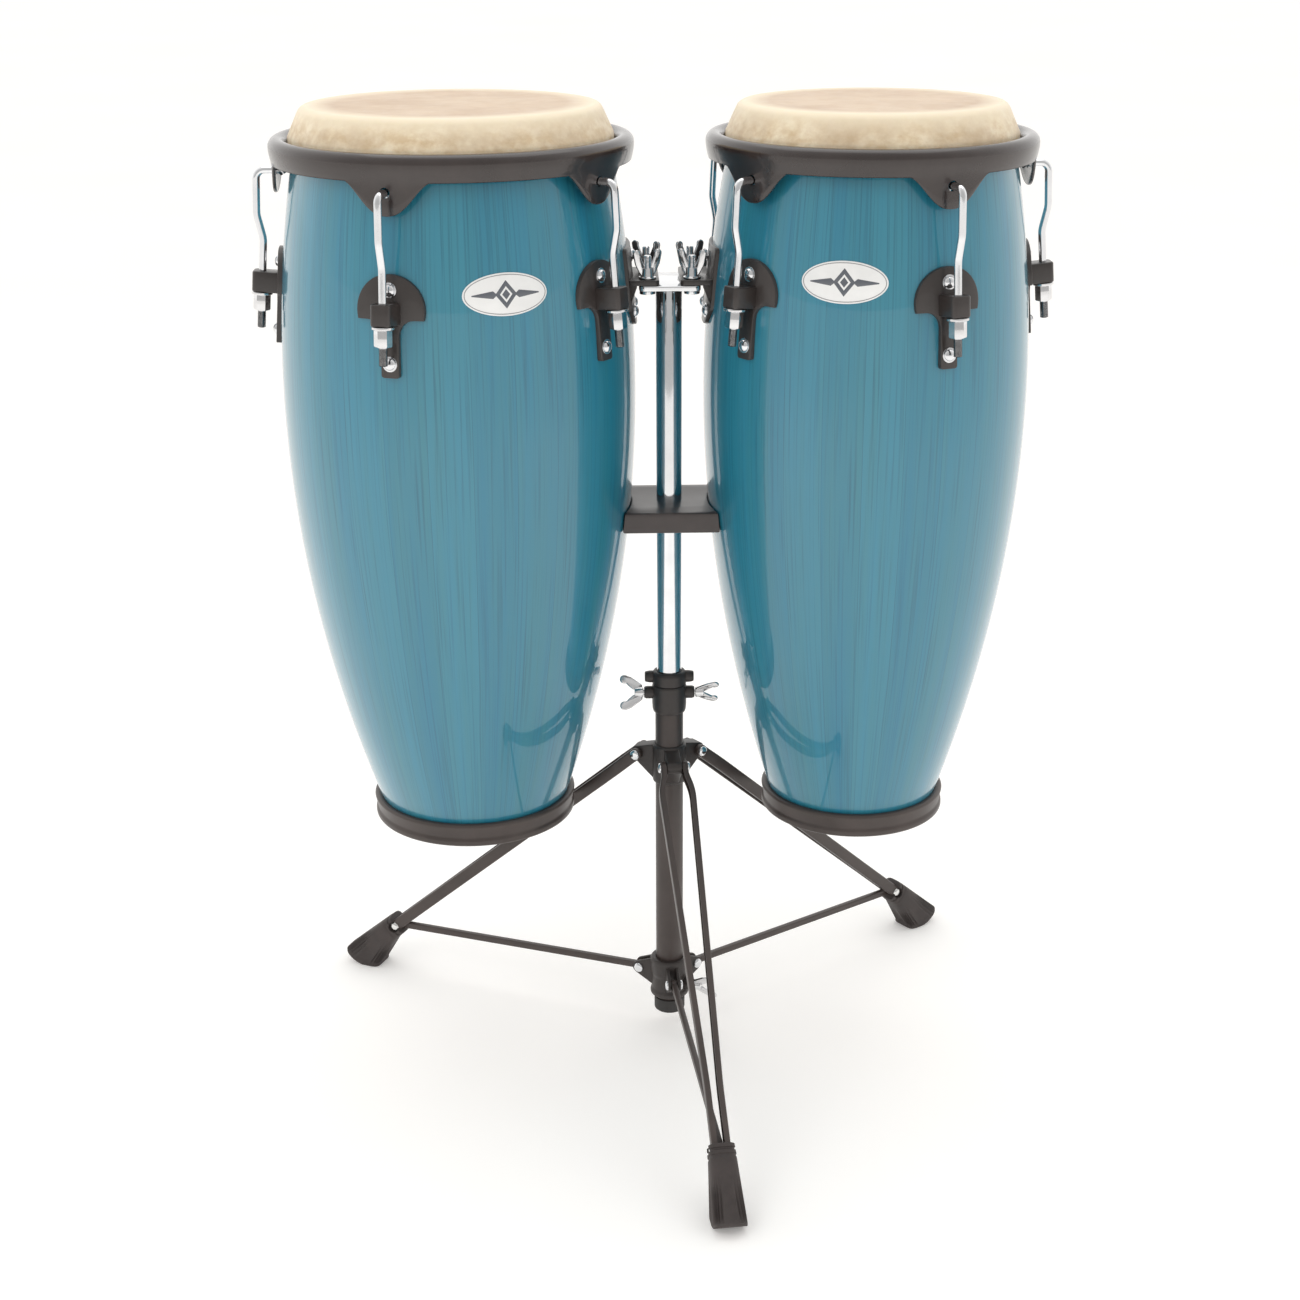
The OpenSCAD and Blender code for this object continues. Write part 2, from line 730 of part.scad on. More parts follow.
module leg_strip() {
    end_x = strip_path[0];
    difference() {
        union() {
            translate([0, 0, -strip_d / 2]) linear_extrude(strip_d) strip_band(-strip_t / 2, strip_t / 2);
            translate([0, end_x[1] + strip_t / 2, 0]) rotate([90, 0, 0]) cylinder(d = strip_d, h = strip_t);
            translate([leg_len, strip_path[4][1] + strip_t / 2 + pin_head_t, 0]) rotate([90, 0, 0])
                cylinder(d = pin_head_d, h = pin_head_t + 1);
        }
        intersection() {
            translate([0, 0, -strip_d / 2 + strip_wall]) linear_extrude(strip_d - 2 * strip_wall)
                strip_band(-strip_t, strip_t / 2 - strip_wall);
            translate([34, -50, -50]) cube([leg_len - 52, 100, 100]);
        }
        rotate([90, 0, 0]) cylinder(d = pin_d + 2 * fit, h = 60, center = true);
    }
}

// Two mirrored channel strips; the foot rivet's heads are set in them
module leg(i) {
    color("#2c2725") on_leg(i) for (m = [0, 1]) mirror([0, m, 0]) leg_strip();
}

// Flared rubber boot with a flat sole and a turned-up toe, a socket for each strip and a slot for the brace
module foot(i) {
    socket_w = strip_t + 0.1;
    color("#1d1b1a") difference() {
        hull() {
            in_stand() rotate([0, 0, leg_azimuth(i)]) for (y = [-1, 1]) {
                for (x = [-1, 1])
                    translate([sole_r + x * (sole_size[0] / 2 - 5), y * (sole_size[1] / 2 - 5), 0])
                    cylinder(r = 5, h = sole_size[2], $fn = 32);
                translate([toe_r, y * (sole_size[1] / 2 - 5), toe_z]) cylinder(r = 4.8, h = 4, $fn = 32);
            }
            on_leg(i) translate([leg_len + 8, 0, 0]) rotate([0, 90, 0]) cylinder(d = neck_d, h = 5, $fn = 32);
        }
        on_leg(i) {
            for (m = [-1, 1]) translate([0, m * strip_path[4][1] - socket_w / 2, -strip_d / 2 - 0.05])
                cube([leg_len + strip_end + 0.1, socket_w, strip_d + 0.1]);
            translate([0, -bar_w / 2 - gap, -6]) cube([leg_len + 50, bar_w + 2 * gap, 60]);
        }
    }
}

module brace(i) {
    color("#2c2725") in_stand() rotate([0, 0, leg_azimuth(i)]) translate([pivot_r, 0, runner_z])
        rotate([90, brace_drop, 0]) difference() {
            linear_extrude(bar_w, center = true) difference() {
                union() {
                    translate([0, -bar_h / 2]) square([brace_len, bar_h]);
                    circle(r = 5.5);
                    translate([brace_len, 0]) circle(r = 5.5);
                }
                circle(d = pin_d - 1 + 2 * fit);
                translate([brace_len, 0]) circle(d = pin_d);
            }
        }
}

color("#2f8fae") shell(LEFT);  // left_shell
color("#2f8fae") shell(RIGHT);  // right_shell
bottom_ring(LEFT);  // left_bottom_ring
bottom_ring(RIGHT);  // right_bottom_ring
head(LEFT);  // left_head
head(RIGHT);  // right_head
flesh_hoop(LEFT);  // left_flesh_hoop
flesh_hoop(RIGHT);  // right_flesh_hoop
rim(LEFT);  // left_rim
rim(RIGHT);  // right_rim
tuning_hooks(LEFT);  // left_tuning_hooks
tuning_hooks(RIGHT);  // right_tuning_hooks
side_plates(LEFT);  // left_side_plates
side_plates(RIGHT);  // right_side_plates
bolts(LEFT);  // left_bolts
bolts(RIGHT);  // right_bolts
backing_nuts(LEFT);  // left_backing_nuts
backing_nuts(RIGHT);  // right_backing_nuts
badge(LEFT);  // left_badge
badge(RIGHT);  // right_badge
bracket(LEFT);  // left_bracket
bracket(RIGHT);  // right_bracket
tuning_nut(LEFT, 1);  // left_tuning_nut_1
tuning_nut(LEFT, 2);  // left_tuning_nut_2
tuning_nut(LEFT, 3);  // left_tuning_nut_3
tuning_nut(LEFT, 4);  // left_tuning_nut_4
tuning_nut(LEFT, 5);  // left_tuning_nut_5
tuning_nut(RIGHT, 1);  // right_tuning_nut_1
tuning_nut(RIGHT, 2);  // right_tuning_nut_2
tuning_nut(RIGHT, 3);  // right_tuning_nut_3
tuning_nut(RIGHT, 4);  // right_tuning_nut_4
tuning_nut(RIGHT, 5);  // right_tuning_nut_5
base_tube();
tube_end_cap();
leg_collar();
leg_pivot_bolts();
runner();
runner_wing_screw();
brace_pivot_bolts();
leg(0);  // leg_front
leg(1);  // leg_right
leg(2);  // leg_left
foot(0);  // foot_front
foot(1);  // foot_right
foot(2);  // foot_left
brace(0);  // brace_front
brace(1);  // brace_right
brace(2);  // brace_left
mast_clamp();
mast_bushing();
clamp_screw(-1);  // clamp_screw_left
clamp_screw(1);  // clamp_screw_right
mast();
memory_lock();
top_plate();
bumper_block();
wing_nut(LEFT, -1);  // wing_nut_left_front
wing_nut(LEFT, 1);  // wing_nut_left_back
wing_nut(RIGHT, -1);  // wing_nut_right_front
wing_nut(RIGHT, 1);  // wing_nut_right_back
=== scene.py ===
"""The looks of a pair of conga drums on their folding stand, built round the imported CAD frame."""

import json
from math import asin, atan, atan2, copysign, cos, degrees, hypot, pi, radians, sin, sqrt

import bmesh
import bpy
from mathutils import Matrix, Vector, noise


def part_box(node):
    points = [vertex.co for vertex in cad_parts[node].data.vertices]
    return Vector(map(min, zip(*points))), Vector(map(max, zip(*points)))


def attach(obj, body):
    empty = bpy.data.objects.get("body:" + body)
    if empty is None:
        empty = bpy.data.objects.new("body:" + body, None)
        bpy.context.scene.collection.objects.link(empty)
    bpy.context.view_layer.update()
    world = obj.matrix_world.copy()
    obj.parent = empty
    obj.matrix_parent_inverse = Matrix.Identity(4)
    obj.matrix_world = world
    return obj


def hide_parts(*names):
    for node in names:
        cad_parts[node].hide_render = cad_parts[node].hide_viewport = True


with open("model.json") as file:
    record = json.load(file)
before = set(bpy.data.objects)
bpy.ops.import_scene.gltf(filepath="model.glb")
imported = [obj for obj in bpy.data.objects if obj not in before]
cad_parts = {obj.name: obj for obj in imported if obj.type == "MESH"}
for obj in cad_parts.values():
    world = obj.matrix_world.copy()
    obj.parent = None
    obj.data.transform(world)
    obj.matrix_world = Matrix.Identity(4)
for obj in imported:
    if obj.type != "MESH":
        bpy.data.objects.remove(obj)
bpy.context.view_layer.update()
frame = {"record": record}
JOINTS = {joint["name"]: joint for joint in frame["record"]["behaviour"]["joints"]}
MM = 0.001

# Drum shells: control radii from the foot to the bearing edge, in millimetres as all shapes below
SIDES = ("left", "right")
SHELL_RADII = {"left": (89.5, 174.3, 193.4, 139.1), "right": (80.3, 159.6, 181.4, 124.9)}
DRUM_H = 711
SHELL_WALL = 11
RING_H = 22
SKIN_T = 2
EDGE_ROUND = 6.7
EDGE_SLOPE = 24
STAVES = 26
GRAIN_R = 0.165             # metres; the grain is laid out at this radius
RIM_W, RIM_H, RIM_DROP, EAR_DROP, EAR_HALF_W = 17.2, 23, 27, 30, 44
RIM_OVER = 13.4
EAR_IN = 4.2
EAR_T = 3.2
HOOP_R = 4
HOOP_OUT, HOOP_DOWN = 3.5, 14
LUGS = 5
LUG_S = 547
BLOCK_LOW, BLOCK_HIGH = -10, 9.6
PLATE_T = 4
ROD_OFF = 19
ROD_D = 7.2
ROD_LOW = -44
HOLE_S = 651.5
LUG_BOLTS = (20, -45)
BADGE_AZIMUTH = {"left": 289, "right": 255}
BADGE_S = {"left": 562, "right": 568}
BADGE_SIZE = (78, 38)
BRACKET_BOLTS = ((-22, -26), (22, -26), (0, 24))
BRACKET_W = 76
BRACKET_T = 3
BRACKET_AZIMUTH = {"left": 0, "right": 180}
STUD_X, STUD_Y = 21, 26
TOP_PLATE_T = 5
WING_T = 2.8
MAST_R, MAST_BORE = 12.7, 11.1
TUBE_R, TUBE_BORE = 14.3, 13.1
LEGS = ("front", "right", "left")
RIVET_R, RIVET_Z = 331, 54
SOLE_R = 373
SOLE_SIZE = (42, 32)
FLUTES = 28
STRIP_T, STRIP_D, STRIP_WALL = 5.5, 12.5, 1.5
STRIP_GAP = 6.3
PIVOT_GAP = 11


def radius(side, s):
    """Outer radius of a shell at height s above its foot."""
    t = s / DRUM_H
    a, b, c, d = SHELL_RADII[side]
    return (1 - t) ** 3 * a + 3 * t * (1 - t) ** 2 * b + 3 * t * t * (1 - t) * c + t**3 * d


def tilt(side, s):
    """Inward lean of a shell at height s, in radians."""
    return atan((radius(side, s - 20) - radius(side, s + 20)) / 40)


# ---- Places, taken from the frame ----


def place(origin, z=(0, 0, 1), x=(1, 0, 0)):
    """Matrix of a local frame in millimetres, with its Z along z and its X near x."""
    z = Vector(z).normalized()
    x = Vector(x)
    x = (x - x.project(z)).normalized()
    y = z.cross(x)
    turn = Matrix((x, y, z)).transposed().to_4x4()
    return Matrix.Translation(Vector(origin)) @ turn @ Matrix.Scale(MM, 4)


def centre(node):
    low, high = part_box(node)
    return (low + high) / 2


def heights(node):
    """Lower and upper end of a node, in millimetres."""
    return [corner.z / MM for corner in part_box(node)]


def joint_at(joint):
    return Vector(JOINTS[joint]["pos_m"])


def radial(azimuth):
    """Unit vector at an azimuth in degrees."""
    return Vector((cos(radians(azimuth)), sin(radians(azimuth)), 0))


def drum_place(side):
    middle = centre(side + "_shell")
    return place((middle.x, middle.y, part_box(side + "_shell")[0].z))


def on_shell(side, azimuth, s):
    """Frame on a shell: X outwards, Z up along the shell."""
    lean = tilt(side, s)
    out = radial(azimuth)
    origin = drum_place(side) @ (out * radius(side, s) + Vector((0, 0, s)))
    up = Vector((0, 0, cos(lean))) - out * sin(lean)
    return place(origin, up, out)


def lug_azimuth(side, i):
    """Azimuth of a lug, from its nut's joint."""
    offset = joint_at(f"{side}_tuning_nut_{i}_turn") - centre(side + "_shell")
    return degrees(atan2(offset.y, offset.x))


def lug_places(side):
    return [on_shell(side, lug_azimuth(side, i), LUG_S) for i in range(1, LUGS + 1)]


POST = centre("base_tube")
PLATE_Z = joint_at("wing_nut_left_front_turn").z - 6 * MM


def on_post(z=0.0, azimuth=0.0):
    """Frame on the post's axis at height z in metres, X at an azimuth."""
    return place((POST.x, POST.y, z), (0, 0, 1), radial(azimuth))


def leg_azimuth(name):
    pivot = joint_at(f"leg_{name}_fold")
    return degrees(atan2(pivot.y - POST.y, pivot.x - POST.x))


LEG_Z = JOINTS["leg_front_fold"]["pos_m"][2]
RUNNER_Z = JOINTS["brace_front_fold"]["pos_m"][2]
PIVOT_R = (joint_at("leg_front_fold") - Vector((POST.x, POST.y, LEG_Z))).length / MM
LEG_LEN = hypot(RIVET_R - PIVOT_R, LEG_Z / MM - RIVET_Z)
BRACE_LEN = hypot(RIVET_R - PIVOT_R, RUNNER_Z / MM - RIVET_Z)


def down_to_rivet(part, name, height):
    """Frame on a leg or brace: X from its pivot to the foot rivet, Y sideways, Z away from the post."""
    out = radial(leg_azimuth(name))
    drop = atan2(height / MM - RIVET_Z, RIVET_R - PIVOT_R)
    down = out * cos(drop) - Vector((0, 0, sin(drop)))
    up = out * sin(drop) + Vector((0, 0, cos(drop)))
    return place(joint_at(f"{part}_{name}_fold"), up, down)


def towards_leg(name):
    """Frame on the post's axis at the floor, X towards a leg."""
    return on_post(0, leg_azimuth(name))


def on_leg(name):
    return down_to_rivet("leg", name, LEG_Z)


# ---- Mesh work ----


class Shape:
    """A mesh being built: each part is made in a local frame and set in the row frame."""

    def __init__(self):
        self.mesh = bmesh.new()
        self.uv = self.mesh.loops.layers.uv.new("UVMap")

    def loft(self, at, loops, wrap=False, caps=True, slot=0, uv=None):
        """Skin over loops of points, closed round each loop, capped or wrapped at the ends."""
        mesh = self.mesh
        rows = [[mesh.verts.new(at @ Vector(p)) for p in loop] for loop in loops]
        count = len(rows[0])
        made = []
        for i in range(len(rows) - (0 if wrap else 1)):
            below, above = rows[i], rows[(i + 1) % len(rows)]
            for j in range(count):
                k = (j + 1) % count
                face = mesh.faces.new((below[j], below[k], above[k], above[j]))
                made.append(face)
                if uv:
                    corners = ((i, j), (i, j + 1), (i + 1, j + 1), (i + 1, j))
                    for loop, (a, b) in zip(face.loops, corners):
                        loop[self.uv].uv = uv(a, b)
        if caps and not wrap:
            made += [mesh.faces.new(row) for row in (rows[0][::-1], rows[-1])]
        for face in made:
            face.material_index = slot
        return made

    def spin(self, at, profile, steps=64, slot=0, closed=False, uv=None):
        """Solid of revolution round Z of (radius, height) points; closed for a ring section."""
        loops = [[(x, y, z) for x, y in circle(r, steps)] for r, z in profile]
        return self.loft(at, loops, wrap=closed, caps=not closed, slot=slot, uv=uv)

    def sweep(self, at, path, section):
        """A closed section of (side, up) points carried along a path with end caps."""
        path = [Vector(p) for p in path]
        loops, up = [], None
        for i, p in enumerate(path):
            along = (path[min(i + 1, len(path) - 1)] - path[max(i - 1, 0)]).normalized()
            if up is None:
                up = Vector((0, 0, 1)) if abs(along.z) < 0.9 else Vector((1, 0, 0))
            up = (up - up.project(along)).normalized()
            side = along.cross(up)
            loops.append([p + side * a + up * b for a, b in section])
        return self.loft(at, loops)

    def prism(self, at, outline, low, high, edge):
        """A 2D outline in X-Y, extruded from low to high, with its ends' edges eased."""
        steps = [(edge * (1 - sin(a)), edge * (1 - cos(a)))
                 for a in (0, pi / 6, pi / 3, pi / 2)]
        loops = [[(x, y, low + rise) for x, y in inset(outline, depth)] for depth, rise in steps]
        loops += [[(x, y, high - rise) for x, y in inset(outline, depth)] for depth, rise in steps[::-1]]
        return self.loft(at, loops)

    def object(self, name, angle=32):
        """The finished mesh object, smooth except across sharp edges."""
        bmesh.ops.recalc_face_normals(self.mesh, faces=self.mesh.faces)
        mesh = bpy.data.meshes.new(name)
        self.mesh.to_mesh(mesh)
        self.mesh.free()
        smooth(mesh, angle)
        made = bpy.data.objects.new(name, mesh)
        bpy.context.scene.collection.objects.link(made)
        return made


def smooth(mesh, angle):
    """Smooth shading, broken where two faces meet at more than an angle in degrees."""
    mesh.polygons.foreach_set("use_smooth", [True] * len(mesh.polygons))
    mesh.set_sharp_from_angle(angle=radians(angle))


def inset(outline, depth):
    """The outline moved inwards, square to its sides."""
    if depth == 0:
        return list(outline)
    points = [Vector(p) for p in outline]
    area = sum(points[i - 1].x * p.y - p.x * points[i - 1].y for i, p in enumerate(points))
    turn = 1 if area > 0 else -1
    moved = []
    for i, p in enumerate(points):
        before = (p - points[i - 1]).normalized()
        after = (points[(i + 1) % len(points)] - p).normalized()
        normals = [Vector((-d.y, d.x)) * turn for d in (before, after)]
        middle = (normals[0] + normals[1]).normalized()
        moved.append(tuple(p + middle * depth / max(0.5, middle.dot(normals[0]))))
    return moved


def circle(r, steps=16, x=0.0, y=0.0):
    return [(x + r * cos(2 * pi * i / steps), y + r * sin(2 * pi * i / steps))
            for i in range(steps)]


def arc(x, y, r, start, end, steps=6):
    """Points on an arc, angles in degrees."""
    turns = [radians(start + (end - start) * i / steps) for i in range(steps + 1)]
    return [(x + r * cos(a), y + r * sin(a)) for a in turns]


def rounded_box(width, depth, r, x=0.0, steps=4):
    """Outline of a rectangle with round corners."""
    w, d = width / 2 - r, depth / 2 - r
    corners = ((w, d, 0), (-w, d, 90), (-w, -d, 180), (w, -d, 270))
    return [p for cx, cy, a in corners for p in arc(x + cx, cy, r, a, a + 90, steps)]


def eased(points, r=1.0, steps=3):
    """A (radius, height) profile with its inner corners rounded."""
    points = [Vector(p) for p in points]
    out = [tuple(points[0])]
    for i in range(1, len(points) - 1):
        p = points[i]
        back, ahead = points[i - 1] - p, points[i + 1] - p
        reach = min(r, back.length * 0.45, ahead.length * 0.45)
        a, b = p + back.normalized() * reach, p + ahead.normalized() * reach
        for k in range(steps + 1):
            t = k / steps
            out.append(tuple(a * (1 - t) ** 2 + p * 2 * t * (1 - t) + b * t * t))
    out.append(tuple(points[-1]))
    return out


def eased_loop(points, r=1.0, steps=3):
    """A closed outline with every corner rounded."""
    return eased([points[-1], *points, points[0]], r, steps)[1:-1]


def along_y(at):
    """The same place with Z turned to its Y."""
    return at @ Matrix.Rotation(radians(-90), 4, "X")


def along_x(at):
    """The same place with Z turned to its X."""
    return at @ Matrix.Rotation(radians(90), 4, "Y")


def shift(at, x=0.0, y=0.0, z=0.0):
    return at @ Matrix.Translation(Vector((x, y, z)))


def spun(at, angle):
    return at @ Matrix.Rotation(radians(angle), 4, "Z")


# ---- Materials ----


class Paint:
    """A node material; each node's inputs are given as values or other nodes' outputs."""

    def __init__(self, name):
        self.material = bpy.data.materials.new(name)
        self.material.use_nodes = True
        self.tree = self.material.node_tree
        self.tree.nodes.clear()
        self.shader = self.node("ShaderNodeBsdfPrincipled")
        output = self.node("ShaderNodeOutputMaterial")
        self.tree.links.new(self.shader.outputs[0], output.inputs["Surface"])
        coords = self.node("ShaderNodeTexCoord")
        self.uv, self.where = coords.outputs["UV"], coords.outputs["Object"]

    def node(self, kind, settings=(), **inputs):
        made = self.tree.nodes.new(kind)
        for key, value in dict(settings).items():
            setattr(made, key, value)
        for key, value in inputs.items():
            self.set(made, key.replace("_", " "), value)
        return made

    def set(self, node, key, value):
        socket = node.inputs[int(key[1:])] if key[0] == "i" and key[1:].isdigit() else node.inputs[key]
        if isinstance(value, bpy.types.NodeSocket):
            self.tree.links.new(value, socket)
        else:
            socket.default_value = value

    def surface(self, **inputs):
        for key, value in inputs.items():
            self.set(self.shader, key.replace("_", " "), value)
        return self

    def scaled(self, source, scale):
        return self.node("ShaderNodeMapping", Vector=source, Scale=scale).outputs[0]

    def noise(self, vector, scale, detail=4.0, roughness=0.55):
        return self.node("ShaderNodeTexNoise", Vector=vector, Scale=scale, Detail=detail,
                         Roughness=roughness).outputs[0]

    def ramp(self, factor, *stops):
        made = self.node("ShaderNodeValToRGB", i0=factor)
        elements = made.color_ramp.elements
        while len(elements) < len(stops):
            elements.new(0.5)
        for element, (position, colour) in zip(elements, stops):
            element.position = position
            element.color = (*colour, 1) if isinstance(colour, tuple) else (colour, colour, colour, 1)
        return made.outputs[0]

    def math(self, kind, a, b=0.0):
        return self.node("ShaderNodeMath", {"operation": kind}, i0=a, i1=b).outputs[0]

    def mix(self, factor, a, b):
        made = self.node("ShaderNodeMix", {"data_type": "RGBA"}, i0=factor)
        self.set(made, "i6", (*a, 1) if isinstance(a, tuple) else a)
        self.set(made, "i7", (*b, 1) if isinstance(b, tuple) else b)
        return made.outputs[2]

    def bump(self, height, strength, distance=0.001):
        return self.node("ShaderNodeBump", Height=height, Strength=strength, Distance=distance).outputs[0]


def grain_of(paint, along, fine):
    """Streaks along the height of a UV map in metres: broad and fine."""
    broad = paint.noise(paint.scaled(along, (60, 2.2, 1)), 1.0, 3.0)
    streak = paint.noise(paint.scaled(along, (420, 5.5, 1)), 1.0, fine)
    return broad, streak


def stained_wood(name):
    """Translucent blue stain over staves, under a thick clear gloss."""
    paint = Paint(name)
    parts = paint.node("ShaderNodeSeparateXYZ", Vector=paint.uv)
    pitch = 2 * pi * GRAIN_R / STAVES
    stave = paint.math("FLOOR", paint.math("DIVIDE", parts.outputs[0], pitch))
    place_in = paint.math("FRACT", paint.math("DIVIDE", parts.outputs[0], pitch))
    tone = paint.node("ShaderNodeTexWhiteNoise", {"noise_dimensions": "1D"}, W=stave)
    offset = paint.node("ShaderNodeCombineXYZ", X=parts.outputs[0],
                        Y=paint.math("ADD", parts.outputs[1], paint.math("MULTIPLY", tone.outputs[0], 9)))
    broad, streak = grain_of(paint, offset.outputs[0], 6.0)
    stain = paint.ramp(tone.outputs[0], *STAIN_TONES)
    stain = paint.mix(paint.ramp(broad, (0.35, 0.0), (0.7, 0.75)), stain, STAIN_GREEN)
    stain = paint.mix(paint.ramp(streak, (0.50, 0.0), (0.72, 0.62)), stain, STAIN_DARK)
    joint = paint.ramp(place_in, (0.0, 0.55), (0.012, 0.0), (0.988, 0.0), (1.0, 0.55))
    stain = paint.mix(joint, stain, STAIN_DARK)
    paint.surface(Base_Color=stain, Roughness=0.34, Coat_Weight=1.0, Coat_Roughness=0.025, Coat_IOR=1.5,
                  Normal=paint.bump(streak, 0.05, 0.0004))
    return paint.material


def raw_wood(name):
    """Pale unfinished timber inside the shells."""
    paint = Paint(name)
    broad, streak = grain_of(paint, paint.uv, 5.0)
    wood = paint.ramp(streak, (0.3, (0.42, 0.26, 0.13)), (0.7, (0.62, 0.43, 0.25)))
    wood = paint.mix(paint.ramp(broad, (0.4, 0.0), (0.7, 0.5)), wood, (0.34, 0.2, 0.1))
    paint.surface(Base_Color=wood, Roughness=0.75, Normal=paint.bump(streak, 0.3, 0.0006))
    return paint.material


def rawhide(name):
    """Skin: peach on the flat, cream at the edge, mottled amber down the collar."""
    paint = Paint(name)
    across = paint.node("ShaderNodeSeparateXYZ", Vector=paint.uv).outputs[1]
    cloud = paint.noise(paint.where, 16.0, 6.0, 0.62)
    fleck = paint.noise(paint.scaled(paint.where, (1, 1, 1.4)), 70.0, 4.0, 0.6)
    flat = paint.ramp(cloud, (0.35, HIDE_PEACH), (0.62, HIDE_FLAT))
    collar = paint.ramp(fleck, (0.36, HIDE_AMBER), (0.66, HIDE_CREAM))
    collar = paint.mix(paint.ramp(cloud, (0.42, 0.0), (0.66, 0.6)), collar, HIDE_DEEP)
    edge = paint.ramp(across, (0.40, 0.0), (0.5, 1.0))
    drop = paint.ramp(across, (0.52, 0.0), (0.62, 1.0))
    skin = paint.mix(edge, flat, HIDE_CREAM)
    skin = paint.mix(drop, skin, collar)
    height = paint.math("ADD", cloud, paint.math("MULTIPLY", fleck, 0.4))
    paint.surface(Base_Color=skin, Roughness=paint.ramp(fleck, (0.3, 0.42), (0.7, 0.6)),
                  Subsurface_Weight=0.12, Subsurface_Radius=(0.006, 0.004, 0.002), Sheen_Weight=0.05,
                  Normal=paint.bump(height, 0.25, 0.0008))
    return paint.material


def coat(name, colour, rough=(0.32, 0.46), bump=0.12, scale=700.0, gloss=0.0):
    """Powder or enamel coat: a fine orange-peel with uneven gloss and worn tone."""
    paint = Paint(name)
    cloud = paint.noise(paint.where, 22.0, 5.0)
    peel = paint.noise(paint.where, scale, 2.0)
    lighter = tuple(min(1.0, c * 1.35 + 0.004) for c in colour)
    tone = paint.ramp(cloud, (0.35, colour), (0.7, lighter))
    paint.surface(Base_Color=tone, Roughness=paint.ramp(cloud, (0.3, rough[0]), (0.7, rough[1])),
                  Coat_Weight=gloss, Coat_Roughness=0.08, Normal=paint.bump(peel, bump, 0.0003))
    return paint.material


def metal(name, colour, rough=(0.06, 0.14), scratch=0.02):
    """Plated metal with faint smears and hairline scratches."""
    paint = Paint(name)
    smear = paint.noise(paint.where, 35.0, 5.0)
    hair = paint.noise(paint.scaled(paint.where, (900, 900, 60)), 1.0, 3.0)
    dull = tuple(c * 0.9 for c in colour)
    paint.surface(Base_Color=paint.ramp(smear, (0.35, colour), (0.75, dull)), Metallic=1.0,
                  Roughness=paint.ramp(smear, (0.3, rough[0]), (0.75, rough[1])),
                  Normal=paint.bump(hair, scratch, 0.0002))
    return paint.material


def rubber(name, colour):
    paint = Paint(name)
    cloud = paint.noise(paint.where, 40.0, 5.0)
    grit = paint.noise(paint.where, 1400.0, 2.0)
    lighter = tuple(c * 1.6 + 0.006 for c in colour)
    paint.surface(Base_Color=paint.ramp(cloud, (0.4, colour), (0.75, lighter)),
                  Roughness=paint.ramp(cloud, (0.3, 0.55), (0.7, 0.75)),
                  Normal=paint.bump(grit, 0.3, 0.0004))
    return paint.material


def foil(name, colour):
    paint = Paint(name)
    cloud = paint.noise(paint.where, 60.0, 3.0)
    dull = tuple(c * 0.94 for c in colour)
    paint.surface(Base_Color=paint.ramp(cloud, (0.35, colour), (0.7, dull)), Roughness=0.3,
                  Coat_Weight=0.8, Coat_Roughness=0.06,
                  Normal=paint.bump(cloud, 0.04, 0.0003))
    return paint.material


STAIN_TONES = ((0.0, (0.014, 0.190, 0.298)), (0.5, (0.018, 0.208, 0.315)), (1.0, (0.026, 0.228, 0.334)))
STAIN_GREEN = (0.032, 0.210, 0.262)
STAIN_DARK = (0.006, 0.105, 0.168)
HIDE_PEACH = (0.59, 0.430, 0.295)
HIDE_FLAT = (0.68, 0.525, 0.375)
HIDE_CREAM = (0.88, 0.77, 0.58)
HIDE_AMBER = (0.68, 0.52, 0.32)
HIDE_DEEP = (0.55, 0.42, 0.28)
CHARCOAL = (0.050, 0.038, 0.034)
BLACK = (0.030, 0.024, 0.022)

FINISHES = {
    "teal_stave_wood": stained_wood("stained_staves"),
    "ring_black": coat("ring_coat", CHARCOAL),
    "rawhide": rawhide("rawhide_skin"),
    "zinc_steel": metal("zinc_plate", (0.55, 0.55, 0.56), (0.25, 0.4), 0.1),
    "rim_black": coat("rim_coat", (0.026, 0.018, 0.016), (0.2, 0.28), 0.05, gloss=0.5),
    "chrome_hook": metal("chrome_wire", (0.82, 0.83, 0.85)),
    "hardware_black": coat("hardware_coat", BLACK, (0.28, 0.42), gloss=0.2),
    "chrome_bolt": metal("chrome_heads", (0.82, 0.83, 0.85)),
    "badge_white": foil("badge_foil", (0.86, 0.86, 0.85)),
    "chrome_nut": metal("chrome_fittings", (0.78, 0.78, 0.79), (0.1, 0.2)),
    "stand_black": coat("stand_coat", CHARCOAL),
    "cast_black": coat("casting_coat", BLACK, (0.34, 0.5), 0.3, 420.0),
    "cap_plastic": rubber("cap_moulding", (0.03, 0.028, 0.027)),
    "bushing_nylon": rubber("bushing_moulding", (0.05, 0.05, 0.05)),
    "chrome_tube": metal("chrome_tubing", (0.84, 0.85, 0.87), (0.05, 0.1)),
    "bumper_plastic": coat("bumper_lacquer", (0.040, 0.030, 0.028), (0.34, 0.44), 0.04, gloss=0.25),
    "foot_rubber": rubber("boot_rubber", (0.044, 0.035, 0.033)),
}
EXTRAS = {
    "inside": raw_wood("shell_inside"),
    "grey": foil("badge_print", (0.30, 0.30, 0.31)),
    "ink": foil("badge_ink", (0.10, 0.11, 0.13)),
    "rivet": metal("plated_rivets", (0.80, 0.80, 0.79), (0.12, 0.25)),
    "thread": metal("blackened_thread", (0.05, 0.047, 0.045), (0.4, 0.55), 0.15),
}
SLOTS = {part["node"]: part["material_slot"] for part in frame["record"]["subparts"]}
BODY_OF = {node: body for body, nodes in frame["record"]["behaviour"]["bodies"].items() for node in nodes}


